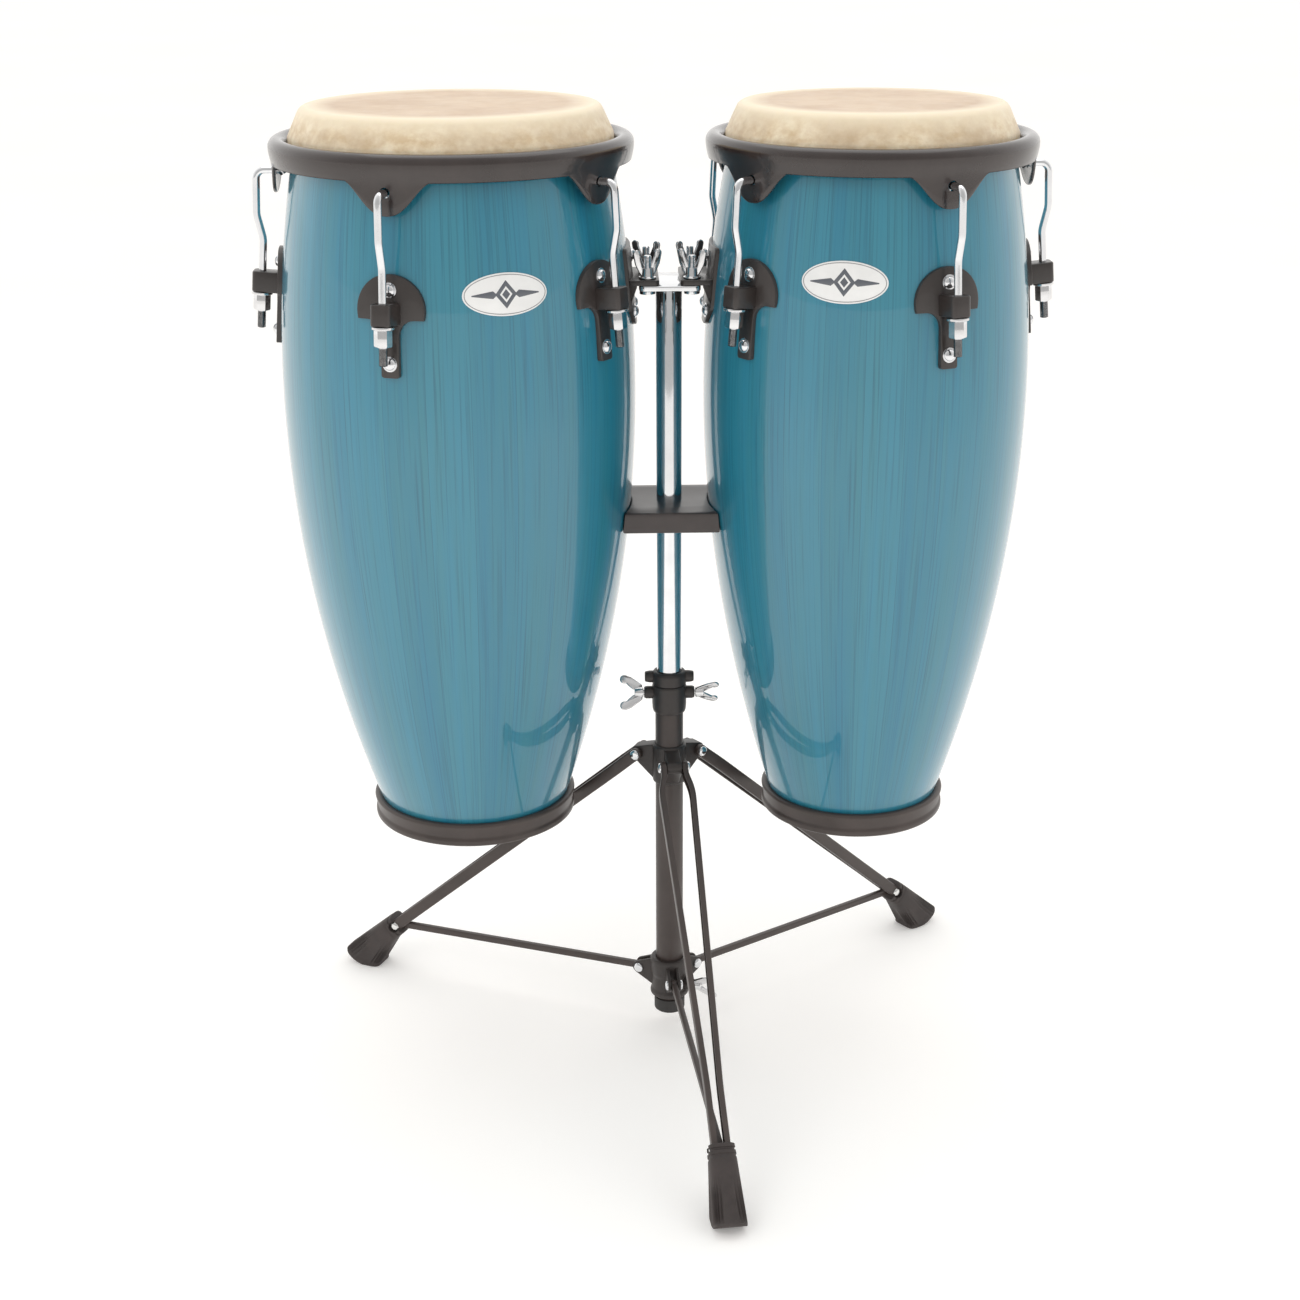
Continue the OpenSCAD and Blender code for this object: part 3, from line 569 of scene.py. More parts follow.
def stand_for(shape, node, *more, angle=32):
    """The finished piece takes a CAD node's place, body and material slot."""
    made = shape.object(node + "_look", angle)
    made.data.materials.append(FINISHES[SLOTS[node]])
    for extra in more:
        made.data.materials.append(EXTRAS[extra])
    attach(made, BODY_OF[node])
    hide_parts(node)
    return made


# ---- Drums ----


def edge_arc(side, r, steps=8):
    """The bearing edge's round, from its outer slope to the top."""
    flat = SHELL_RADII[side][3] - EDGE_ROUND * cos(radians(EDGE_SLOPE))
    return arc(flat, DRUM_H - SKIN_T - EDGE_ROUND, r, EDGE_SLOPE, 90, steps)


def rim_inner(side):
    return SHELL_RADII[side][3] + RIM_OVER


def make_shell(side):
    shape = Shape()
    steps = 208
    levels = [i * (DRUM_H - 16) / 72 for i in range(73)]
    outer = [(radius(side, s), s) for s in levels] + edge_arc(side, EDGE_ROUND)
    inner = [(radius(side, s) - SHELL_WALL, s) for s in levels[::-1]]

    def uv(i, j):
        return j / steps * 2 * pi * GRAIN_R, (outer + inner)[i % len(outer + inner)][1] * MM

    made = shape.spin(drum_place(side), outer + inner, steps, closed=True, uv=uv)
    for k, face in enumerate(made):
        face.material_index = 0 if k // steps < len(outer) else 1
    stand_for(shape, side + "_shell", "inside", angle=50)


def make_bottom_ring(side):
    shape = Shape()
    r0, r1 = radius(side, 0), radius(side, RING_H)
    profile = eased_loop([
        (r0 - SHELL_WALL, -1.5), (r0 + 11.5, -1.5), (r0 + 13, 0.5), (r0 + 13, 4.5), (r0 + 11, 7),
        (r1 + 6.2, RING_H - 2.5), (r1 + 4, RING_H), (r1 - 0.4, RING_H), (r0 - 0.5, 0),
        (r0 - SHELL_WALL, 0)], 1.4, 4)
    shape.spin(drum_place(side), profile, 192, closed=True)
    stand_for(shape, side + "_bottom_ring", angle=60)


def make_head(side):
    """Skin with a flat playing face, a rounded edge and a collar that runs down inside the rim."""
    shape = Shape()
    steps = 192
    skirt = rim_inner(side) - 1.5
    hoop_s = DRUM_H - RIM_DROP - HOOP_DOWN
    arc_out = edge_arc(side, EDGE_ROUND + SKIN_T, 10)
    flat = arc_out[-1][0]
    top = [(flat * i / 14, DRUM_H) for i in range(1, 14)]
    start, end = Vector(arc_out[0]), Vector((skirt, DRUM_H - RIM_DROP))
    slope = [tuple(start.lerp(end, i / 8)) for i in range(1, 9)]
    outer = top + arc_out[::-1] + slope + [(skirt, hoop_s)]
    inner = [(skirt - SKIN_T, hoop_s), (skirt - SKIN_T, DRUM_H - RIM_DROP - 1),
             *edge_arc(side, EDGE_ROUND + 0.05, 8), (4, DRUM_H - SKIN_T)]
    travelled = [0.0]
    for a, b in zip(outer, outer[1:]):
        travelled.append(travelled[-1] + (Vector(b) - Vector(a)).length)
    edge_at = travelled[len(top)]

    def uv(i, j):
        if i >= len(outer):
            return j / steps, 0.2
        return j / steps, 0.5 * travelled[i] / edge_at if i <= len(top) else \
            0.5 + (travelled[i] - edge_at) * 0.005

    shape.spin(drum_place(side), outer + inner, steps, uv=uv)
    made = stand_for(shape, side + "_head", angle=60)
    axis = centre(side + "_shell")
    for vertex in made.data.vertices:
        out = Vector((vertex.co.x - axis.x, vertex.co.y - axis.y, 0))
        if out.length > 0.03:
            wave = noise.noise(vertex.co * 26) * 0.35 + noise.noise(vertex.co * 80) * 0.12
            vertex.co += out.normalized() * wave * MM * min(1, (out.length - 0.03) * 20)


def make_flesh_hoop(side):
    shape = Shape()
    r, z = rim_inner(side) + HOOP_OUT, DRUM_H - RIM_DROP - HOOP_DOWN
    shape.spin(drum_place(side), circle(HOOP_R - 0.05, 14, r, z), 160, closed=True)
    tuck = arc(r, z, HOOP_R, 100, 350, 10) + arc(r, z, HOOP_R + SKIN_T, 350, 100, 10)
    shape.spin(drum_place(side), tuck, 160, closed=True)
    stand_for(shape, side + "_flesh_hoop", angle=60)


def ear_low(azimuth, ears, ear_r):
    """Height of the rim's lower edge at an azimuth: the band's, or the ear's bell curve."""
    band = DRUM_H - RIM_DROP - RIM_H
    nearest = min(abs((azimuth - a + 180) % 360 - 180) for a in ears)
    u = sin(radians(nearest)) * ear_r / EAR_HALF_W if nearest < 80 else 2
    return band if u >= 1 else band - EAR_DROP * (1 + cos(pi * u**1.2)) / 2


def make_rim(side):
    """One rolled hoop whose band flows down into five bell-shaped ears, each with a hook hole."""
    shape = Shape()
    inner_r = rim_inner(side)
    outer_r = inner_r + RIM_W
    ear_out = outer_r - EAR_IN + EAR_T / 2
    ear_back = ear_out - EAR_T
    top = DRUM_H - RIM_DROP
    roll = RIM_W / 2
    mid = inner_r + roll
    band = top - RIM_H
    ears = [lug_azimuth(side, i) for i in range(1, LUGS + 1)]
    steps = 540
    loops = []
    for j in range(steps):
        azimuth = 360 * j / steps
        low = min(ear_low(azimuth, ears, ear_out), band - 1.2)
        third, two_thirds = band - (band - low) / 3, band - 2 * (band - low) / 3
        out = radial(azimuth)
        section = [(inner_r, top - roll - 1), *arc(mid, top - roll, roll, 180, 0, 16),
                   (outer_r - 0.1, band + 11), (outer_r - 0.6, band + 7.5), (outer_r - 1.3, band + 4),
                   (outer_r - 2.0, band + 1), (ear_out, third), (ear_out, two_thirds),
                   (ear_out, low + 0.9), (ear_out - 0.5, low + 0.2), (ear_out - EAR_T / 2, low),
                   (ear_back + 0.5, low + 0.2), (ear_back, low + 0.9), (ear_back, two_thirds),
                   (ear_back, third), (outer_r - 4.6, band + 2), (outer_r - 3.4, band + 8),
                   *arc(mid, top - roll, roll - 2.6, 0, 180, 12),
                   (inner_r + 2.6, top - roll - 1), (inner_r + 1.3, top - roll - 1.6)]
        loops.append([(out.x * r, out.y * r, z) for r, z in section])
    shape.loft(drum_place(side), loops, wrap=True)
    made = stand_for(shape, side + "_rim", angle=60)
    drills = Shape()
    for azimuth in ears:
        at = place(drum_place(side) @ (radial(azimuth) * (ear_out - 10) + Vector((0, 0, HOLE_S))),
                   radial(azimuth), (0, 0, 1))
        drills.spin(at, [(4.7, 0), (4.7, 20)], 28)
    cut_out(made, drills, 60)


def cut_out(made, drills, angle):
    """Takes the drills out of a piece and bakes the result into its mesh."""
    drill = drills.object("drill")
    cut = made.modifiers.new("holes", "BOOLEAN")
    cut.operation, cut.object, cut.solver = "DIFFERENCE", drill, "EXACT"
    evaluated = made.evaluated_get(bpy.context.evaluated_depsgraph_get())
    mesh = bpy.data.meshes.new_from_object(evaluated)
    made.modifiers.clear()
    made.data = mesh
    smooth(mesh, angle)
    bpy.data.objects.remove(drill)


def hook_path(side):
    """Centre line of a tuning hook in its lug's frame, from its lower end to its tip."""
    lean = degrees(tilt(side, LUG_S))
    ear_mid = rim_inner(side) + RIM_W - EAR_IN
    path, spot, heading = [], Vector((ROD_OFF, ROD_LOW)), 0.0

    def ahead():
        return Vector((sin(radians(heading)), cos(radians(heading))))

    def straight(length, steps=4):
        nonlocal spot
        path.extend(spot + ahead() * length * i / steps for i in range(1, steps + 1))
        spot = path[-1]

    def turn(r, angle, steps=8):
        nonlocal spot, heading
        for _ in range(steps):
            heading += angle / steps / 2
            chord = 2 * r * sin(radians(abs(angle) / steps / 2))
            spot = spot + ahead() * chord
            heading += angle / steps / 2
            path.append(spot)

    out, back, sweep_r, tip_r, rise = 12, 3, 25, 8, (36, 16)
    path.append(spot.copy())
    straight(rise[0] - ROD_LOW, 10)
    turn(sweep_r, lean + out)
    straight(rise[1], 4)
    turn(sweep_r, -out - back, 10)
    s, c = sin(radians(lean)), cos(radians(lean))
    height = LUG_S + spot.y * c + spot.x * s
    aim = radians(back)
    rest = (HOLE_S - tip_r * (1 - sin(aim)) - height) / cos(aim)
    straight(rest, 5)
    turn(tip_r, back - 90, 10)
    reach = radius(side, LUG_S) + spot.x * c - spot.y * s - ear_mid + EAR_T
    straight(reach, 3)
    turn(tip_r - 3, -62, 8)
    straight(1, 1)
    return [Vector((p.x, 0, p.y)) for p in path]


def screw_thread(crest, root, low, high, turns):
    """Profile of a thread, drawn as grooves."""
    return [(root if i % 2 else crest, low + i * (high - low) / (2 * turns)) for i in range(2 * turns + 1)]


def make_hooks(side):
    shape = Shape()
    path = hook_path(side)
    for at in lug_places(side):
        shape.sweep(at, path, circle(ROD_D / 2, 20))
        thread = screw_thread(4.0, 3.5, ROD_LOW - 0.4, ROD_LOW + 14.8, 15)
        shape.spin(shift(at, ROD_OFF), [(2.6, ROD_LOW - 1.0), *thread], 24, slot=1)
    stand_for(shape, side + "_tuning_hooks", "thread", angle=40)


def bent_plate(shape, at, outline, r, low, high, edge=0.6, slot=0):
    """A flat outline in the local Y-Z plane, from low to high outwards, bent round radius r."""
    work = bmesh.new()
    work.faces.new([work.verts.new((low, y, z)) for y, z in outline])
    reach = max(abs(y) for y, z in outline)
    cuts = int(reach // 3)
    for k in range(-cuts, cuts + 1):
        bmesh.ops.bisect_plane(work, geom=work.faces[:] + work.edges[:] + work.verts[:],
                               plane_co=(0, k * 3 + 0.01, 0), plane_no=(0, 1, 0), dist=1e-5)
    solid = bmesh.ops.extrude_face_region(work, geom=work.faces[:])
    bmesh.ops.translate(work, vec=(high - low, 0, 0),
                        verts=[v for v in solid["geom"] if isinstance(v, bmesh.types.BMVert)])
    bmesh.ops.recalc_face_normals(work, faces=work.faces)
    rims = [e for e in work.edges if len(e.link_faces) == 2 and e.calc_face_angle() > 1.2
            and all(abs(v.co.x - high) < 1e-6 for v in e.verts)]
    bmesh.ops.bevel(work, geom=rims, offset=edge, segments=2, affect="EDGES", profile=0.5)
    table = {}
    for v in work.verts:
        y, z, out = v.co.y, v.co.z, v.co.x
        bend = sqrt(max(0.0, (r + out) ** 2 - y * y)) - r
        table[v] = shape.mesh.verts.new(at @ Vector((bend, y, z)))
    for f in work.faces:
        made = shape.mesh.faces.new([table[v] for v in f.verts])
        made.material_index = slot
    work.free()


def side_plate_outline():
    """A half-round fan that narrows through two fillets into a stem."""
    fan, low, half, flare, foot = 32, -6, 8.5, 14, -57.5
    rise = degrees(asin((low - 2) / fan))
    top = arc(0, 2, fan, rise, 180 - rise, 28)
    left = arc(-half - flare, low - flare, flare, 90, 0, 7)
    right = arc(half + flare, low - flare, flare, 180, 90, 7)
    return top + left + arc(-half + 2.5, foot + 2.5, 2.5, 180, 270, 3) + \
        arc(half - 2.5, foot + 2.5, 2.5, 270, 360, 3) + right


def make_side_plates(side):
    """Fan plates bent on the shell, each with the block that carries a hook."""
    shape = Shape()
    r = radius(side, LUG_S) / cos(tilt(side, LUG_S))
    block = [(-10.5, 0.6), (-9.3, 25.4), (-6.9, 28), (6.9, 28), (9.3, 25.4), (10.5, 0.6)]
    for at in lug_places(side):
        bent_plate(shape, at, side_plate_outline(), r, -1.2, PLATE_T)
        shape.prism(spun(at, -90) @ Matrix.Scale(-1, 4, (1, 0, 0)), eased_loop(block, 2.0),
                    BLOCK_LOW, BLOCK_HIGH, 1.6)
    stand_for(shape, side + "_side_plates")


def dome_bolt(shape, at, under):
    """Round-headed bolt with a washer under its head; X of the frame points out."""
    at = along_x(at)
    head = [(0.2, under + 4.2), *[(5.5 * sin(a), under + 0.6 + 3.6 * cos(a))
                                  for a in (0.2, 0.45, 0.7, 0.95, 1.2, 1.4, 1.57)], (5.5, under)]
    shape.spin(at, [(2.4, -SHELL_WALL - 11), (3, -SHELL_WALL - 10.4), *head[::-1]], 28)
    shape.spin(at, eased([(0.5, under + 0.7), (6.9, under + 0.7), (6.9, under - 0.3), (0.5, under - 0.3)],
                         0.3), 28)


def bolt_places(side):
    """Every bolt through a shell: its frame and the height of its head's seat."""
    places = [(shift(at, z=z), PLATE_T) for at in lug_places(side) for z in LUG_BOLTS]
    s = bracket_height(side)
    for y, z in BRACKET_BOLTS:
        aside = degrees(asin(y / radius(side, s)))
        places.append((shift(on_shell(side, BRACKET_AZIMUTH[side] + aside, s), z=z), BRACKET_T))
    return places


def bracket_height(side):
    return PLATE_Z / MM - heights(side + "_shell")[0]


def make_bolts(side):
    shape = Shape()
    for at, seat in bolt_places(side):
        dome_bolt(shape, at, seat)
    stand_for(shape, side + "_bolts", angle=50)


def hex_body(shape, at, flats, low, high, chamfer=0.9):
    """Hexagonal prism with both ends turned to a chamfer."""
    full, small = (circle(share * flats / sqrt(3), 6) for share in (1, 0.9))
    loops = [[(x, y, low) for x, y in small], [(x, y, low + chamfer) for x, y in full],
             [(x, y, high - chamfer) for x, y in full], [(x, y, high) for x, y in small]]
    shape.loft(at, loops)


def make_backing_nuts(side):
    shape = Shape()
    wall = -SHELL_WALL - 2.2
    for at, _ in bolt_places(side):
        inside = along_x(at)
        shape.spin(inside, eased([(3, wall), (9, wall), (9, wall - 1.5), (3, wall - 1.5)], 0.4), 28)
        hex_body(shape, inside, 10, wall - 6.5, wall - 1.5)
    stand_for(shape, side + "_backing_nuts")


def make_badge(side):
    """Plain oval badge: a raised border and a generic lozenge with two bars."""
    shape = Shape()
    at = on_shell(side, BADGE_AZIMUTH[side], BADGE_S[side])
    r = radius(side, BADGE_S[side]) / cos(tilt(side, BADGE_S[side]))

    def oval(width, height, steps=60):
        return [(width * x, height * y) for x, y in circle(0.5, steps)]

    def print_on(outline, slot):
        bent_plate(shape, at, outline, r, 0.5, 0.8, 0.02, slot)

    def print_band(outer, inner, slot):
        for k in range(len(outer)):
            n = (k + 1) % len(outer)
            print_on([outer[k], outer[n], inner[n], inner[k]], slot)

    bent_plate(shape, at, oval(*BADGE_SIZE), r, -0.6, 0.7, 0.25)
    print_band(oval(75.4, 35.4), oval(73.8, 33.8), 1)
    for m in (-1, 1):
        print_on([(m * 8, 0), (m * 12, -3.4), (m * 31, -0.5), (m * 31, 0.5), (m * 12, 3.4)], 2)
    for low, high in ((7.2, 12.5), (0.01, 4.6)):
        print_band(oval(1.6 * high, 2 * high, 4), oval(1.6 * low, 2 * low, 4), 2)
    stand_for(shape, side + "_badge", "grey", "ink")


def make_nut(side, i):
    """Long hexagonal nut with a thin flange at its upper end."""
    shape = Shape()
    joint = JOINTS[f"{side}_tuning_nut_{i}_turn"]
    at = place(joint["pos_m"], joint["axis"])
    top = BLOCK_LOW - 0.3
    shape.spin(at, eased([(3.7, top), (10.2, top), (10.2, top - 2.2), (8.2, top - 2.9), (3.7, top - 3)],
                         0.5), 40)
    hex_body(shape, at, 14, top - 17.8, top - 2.6, 1.0)
    stand_for(shape, f"{side}_tuning_nut_{i}", angle=40)


def make_bracket(side):
    """Plate bent on the shell with a level shelf over the top plate and two gussets under it."""
    shape = Shape()
    s = bracket_height(side)
    at = on_shell(side, BRACKET_AZIMUTH[side], s)
    r = radius(side, s) / cos(tilt(side, s))
    half = BRACKET_W / 2
    outline = [(-half, 35), (-half, -22), (-20, -40), (20, -40), (half, -22), (half, 35)]
    bent_plate(shape, at, eased_loop(outline, 5, 4), r, -1.0, BRACKET_T)
    axis = abs(POST.x - centre(side + "_shell").x) / MM
    root = axis - radius(side, s) + 3
    post = place((POST.x, POST.y, PLATE_Z), (0, 0, 1), (-1 if side == "left" else 1, 0, 0))
    length = root - 10
    shelf = rounded_box(length, BRACKET_W, 4, 10 + length / 2)
    shape.prism(post, shelf, 0.3, 5.3, 0.8)
    gusset = [(root, 0.8), (31, 0.8), (31, -1.5), (root, -26)]
    for m in (-1, 1):
        web = along_y(shift(post, y=m * (half - 4)))
        shape.prism(web, eased_loop([(x, -z) for x, z in gusset], 0.8), -2, 2, 0.6)
    stand_for(shape, side + "_bracket")


# ---- Mast ----


def wings(shape, at, reach, rise):
    """Two upswept wings of a wing nut, fuller at their lobes."""
    lobe = reach * 0.25
    top, out = rise - lobe, reach - lobe
    outline = [(2.6, 1), (reach * 0.42, 1), (reach * 0.86, rise * 0.5), *arc(out, top, lobe, -20, 200, 12),
               (reach * 0.36, rise * 0.62), (2.6, rise * 0.42)]
    outline = [(x, -z) for x, z in eased_loop(outline, 0.8, 2)]
    for m in (0, 180):
        shape.prism(along_y(spun(at, m)), outline, -WING_T / 2, WING_T / 2, 1.1)


def make_wing_nut(side, end):
    shape = Shape()
    node = f"wing_nut_{side}_{end}"
    stud_at = joint_at(node + "_turn")
    sign = (-1 if side == "left" else 1) * (-1 if end == "front" else 1)
    at = spun(place((stud_at.x, stud_at.y, PLATE_Z + 5.6 * MM)), 20 * sign)
    shape.spin(at, eased([(4, 0), (8.4, 0), (8.4, 1.4), (6.4, 2), (5.6, 10), (4, 10)], 0.6), 36)
    wings(shape, at, 14.4, 27)
    stand_for(shape, node)


def make_wing_screw(node, joint, shank, near, turn):
    """Wing screw along its joint's axis, its wings turned from a near direction by an angle."""
    shape = Shape()
    axis = Vector(JOINTS[joint]["axis"])
    at = spun(place(joint_at(joint) + axis * 0.3 * MM, axis, near), turn)
    shape.spin(at, [(1.6, 0), (2.9, 1.2), (2.9, shank + 2)], 24)
    shape.spin(at, eased([(0.5, shank), (5.5, shank), (5.6, shank + 2), (4.6, shank + 9), (0.5, shank + 9)],
                         0.8), 28)
    wings(shape, shift(at, z=shank), 19, 24)
    stand_for(shape, node)


def make_tube(node, outer, inner, steps, angle=50):
    shape = Shape()
    low, high = heights(node)
    corners = [(outer, low), (outer, high), (inner, high), (inner, low)]
    shape.spin(on_post(), eased_loop(corners, 0.4, 2), steps, closed=True)
    stand_for(shape, node, angle=angle)


def make_memory_lock():
    """Split ring above the clamp with a wing at each side."""
    shape = Shape()
    low, high = heights("memory_lock")
    at = on_post()
    section = eased_loop([(17.5, low), (17.5, high - 3), (15.5, high), (12.72, high), (12.72, low)], 1.2)
    shape.spin(at, section, 64, closed=True)
    for m in (0, 180):
        side = along_x(shift(spun(at, m), z=(low + high) / 2))
        shape.spin(side, eased([(1, 12.9), (6, 12.9), (6.2, 20), (5.2, 25), (1, 25)], 1.2), 32)
    stand_for(shape, "memory_lock")


def stud(shape, at, low, high):
    """Threaded stud with a flanged head below."""
    shape.spin(at, eased([(1, low - 4), (7.5, low - 4), (7.5, low - 1), (6.5, low), (1, low)], 0.5), 32)
    thread = screw_thread(3.9, 3.55, low, high - 1, int((high - low) / 1.25))
    shape.spin(at, [*thread, (3.0, high)], 28)


def make_top_plate():
    shape = Shape()
    top = PLATE_Z / MM
    at = on_post()
    shape.prism(at, rounded_box(58, BRACKET_W, 5), top - TOP_PLATE_T, top, 0.8)
    weld = eased([(12.5, top - 9), (14.5, top - 7.4), (17, top - 4.9), (12.5, top - 4.9)], 0.6)
    shape.spin(at, weld, 64)
    for x in (-STUD_X, STUD_X):
        for y in (-STUD_Y, STUD_Y):
            stud(shape, shift(at, x, y), top - TOP_PLATE_T, heights("top_plate")[1])
    stand_for(shape, "top_plate")


def make_bumper_block():
    """Block with two hollows that follow the shells."""
    shape = Shape()
    low, high = heights("bumper_block")
    depth = (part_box("bumper_block")[1].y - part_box("bumper_block")[0].y) / MM / 2
    axes = {side: (centre(side + "_shell").x - POST.x) / MM for side in SIDES}
    base = heights("left_shell")[0]
    ease = 1.6
    levels = [(low, ease), (low + 0.35 * ease, 0.35 * ease), (low + ease, 0)]
    levels += [(low + (high - low) * k / 4, 0) for k in (1, 2, 3)]
    levels += [(high - ease, 0), (high - 0.35 * ease, 0.35 * ease), (high, ease)]
    loops = []
    for z, cut in levels:
        edge = depth - cut
        outline = []
        for side, sign in (("right", 1), ("left", -1)):
            r = radius(side, z - base) + 0.4 + cut
            for k in range(25):
                y = sign * (-edge + 2 * edge * k / 24)
                corner = 2.5 * max(0.0, abs(y) / edge - 0.94) / 0.06
                outline.append((axes[side] - sign * (sqrt(r * r - y * y) + corner * 0.6), y))
        loops.append([(x, y, z) for x, y in outline])
    shape.loft(on_post(), loops)
    stand_for(shape, "bumper_block", angle=40)


# ---- Tripod ----


def make_end_cap():
    shape = Shape()
    low, high = heights("tube_end_cap")
    section = [(0.5, low), (14.8, low), (16.3, low + 1.5), (16.3, high), (14.35, high), (14.35, low + 3),
               (0.5, low + 3)]
    shape.spin(on_post(), eased(section, 0.8), 64)
    stand_for(shape, "tube_end_cap")


def make_mast_clamp():
    """Cast sleeve over the tube's end with a boss for each wing screw."""
    shape = Shape()
    low, high = heights("mast_clamp")
    at = on_post()
    section = [(TUBE_R, low), (16.2, low), (17.1, low + 3), (17.5, low + 9), (17.5, high - 2),
               (16.5, high), (13.2, high), (13.2, high - 2), (TUBE_R, high - 3)]
    shape.spin(at, eased_loop(section, 0.9), 72, closed=True)
    screw = joint_at("clamp_screw_left_turn").z / MM
    for m in (0, 180):
        side = along_x(shift(spun(at, m), z=screw))
        boss = [(3.1, 14), (6.5, 14), (6.5, 23.5), (5.6, 25.8), (3.1, 25.8)]
        shape.spin(side, eased_loop(boss, 0.9), 36, closed=True)
    stand_for(shape, "mast_clamp", angle=40)


def ear_web(shape, at, low, high, pivot, width, r=7.5, root=15.0):
    """Cast ear between the post and a pivot, tapering to a round end."""
    outline = [(root, high), *arc(PIVOT_R, pivot, r, 62, -62, 12), (root, low)]
    shape.prism(along_y(at), [(x, -z) for x, z in outline], -width / 2, width / 2, 1.2)


def make_leg_collar():
    shape = Shape()
    pivot = LEG_Z / MM
    low, high = pivot - 28, pivot + 14
    section = [(TUBE_R, low), (16.6, low), (17.3, low + 2), (17.3, high - 2), (16.2, high), (TUBE_R, high)]
    shape.spin(on_post(), eased_loop(section, 1.0), 72, closed=True)
    for name in LEGS:
        ear_web(shape, towards_leg(name), low + 2, high - 2, pivot, 15.5)
    stand_for(shape, "leg_collar")


def make_pivot_bolts(node, pivot, d, half):
    """Bolts across the three legs' planes with a domed head at each end."""
    shape = Shape()
    dome = [(5.25, 0), (5.25, 0.91), (4.515, 1.872), (2.8875, 2.444), (0.4, 2.6)]
    for name in LEGS:
        across = along_y(shift(towards_leg(name), PIVOT_R, 0, pivot / MM))
        shape.spin(across, [(d / 2, -half - 0.5), (d / 2, half + 0.5)], 24)
        for sign in (1, -1):
            shape.spin(across, [(r, sign * (half + z)) for r, z in dome], 28)
    stand_for(shape, node, angle=50)


def make_runner():
    """Cast ring that slides on the tube, with a two-cheeked fork for each brace."""
    shape = Shape()
    at = on_post()
    section = [(14.38, 36), (19.4, 36), (20.5, 37.5), (20.5, 41), (18.8, 43.5), (18.4, 58), (19.6, 62),
               (20.5, 72), (20.5, 77.5), (19.2, 80), (14.38, 80)]
    shape.spin(at, eased_loop(section, 1.2), 72, closed=True)
    for name in LEGS:
        for m in (-1, 1):
            cheek = shift(towards_leg(name), y=m * (3.3 + 1.75))
            ear_web(shape, cheek, 43, 76, RUNNER_Z / MM, 3.5, 7.3, 16)
    joint = JOINTS["runner_screw_turn"]
    boss = place((POST.x, POST.y, joint["pos_m"][2]), joint["axis"])
    shape.spin(boss, eased_loop([(3.1, 17), (7, 17), (7, 25), (6, 27), (3.1, 27)], 0.9), 36, closed=True)
    stand_for(shape, "runner")


def channel_section():
    """U of a pressed strip: (sideways, up), its back outwards."""
    half, back, front, wall = STRIP_D / 2, STRIP_T / 2, -STRIP_T / 2, STRIP_WALL
    outside = [*arc(back - 1.6, half - 1.6, 1.6, 90, 0, 4), *arc(back - 1.6, -half + 1.6, 1.6, 0, -90, 4)]
    inside = [(front, -half), (front, -half + wall), (back - wall, -half + wall),
              (back - wall, half - wall), (front, half - wall), (front, half)]
    return outside + inside


def strip_path():
    """Centre line of one strip beside its leg's axis: an elbow under the pivot, then a long taper."""
    knots = [(0, PIVOT_GAP), (9, PIVOT_GAP), (28, 16), (LEG_LEN - 60, STRIP_GAP), (LEG_LEN + 14, STRIP_GAP)]
    return [(x, y, 0) for x, y in eased(knots, 9, 5)]


def make_leg(name):
    shape = Shape()
    at = on_leg(name)
    for m in (1, -1):
        side = at @ Matrix.Scale(m, 4, (0, 1, 0))
        shape.sweep(side, strip_path(), [(-a, b) for a, b in channel_section()])
        eye = along_y(shift(side, y=PIVOT_GAP))
        shape.spin(eye, eased_loop([(3.1, -2.75), (6.25, -2.75), (6.25, 2.75), (3.1, 2.75)], 0.7),
                   36, closed=True)
        rivet = along_y(shift(side, LEG_LEN, STRIP_GAP + STRIP_T / 2))
        shape.spin(rivet, [(0.4, 2.6), (2.6, 2.4), (4.3, 1.7), (5.1, 0.7), (5.2, -1)], 28, slot=1)
    stand_for(shape, "leg_" + name, "rivet")


def make_brace(name):
    """Flat bar with a round eye at each end."""
    shape = Shape()
    at = along_y(down_to_rivet("brace", name, RUNNER_Z))
    outline = arc(0, 0, 5.5, 40, 320, 12) + arc(BRACE_LEN, 0, 5.5, -140, 140, 12)
    shape.prism(at, outline, -3, 3, 0.9)
    stand_for(shape, "brace_" + name)


def superellipse(width, depth, power, steps):
    """Outline between a rounded box and an ellipse."""
    points = []
    for j in range(steps):
        a = 2 * pi * j / steps
        c, s = cos(a), sin(a)
        points.append((width / 2 * copysign(abs(c) ** (2 / power), c),
                       depth / 2 * copysign(abs(s) ** (2 / power), s)))
    return points


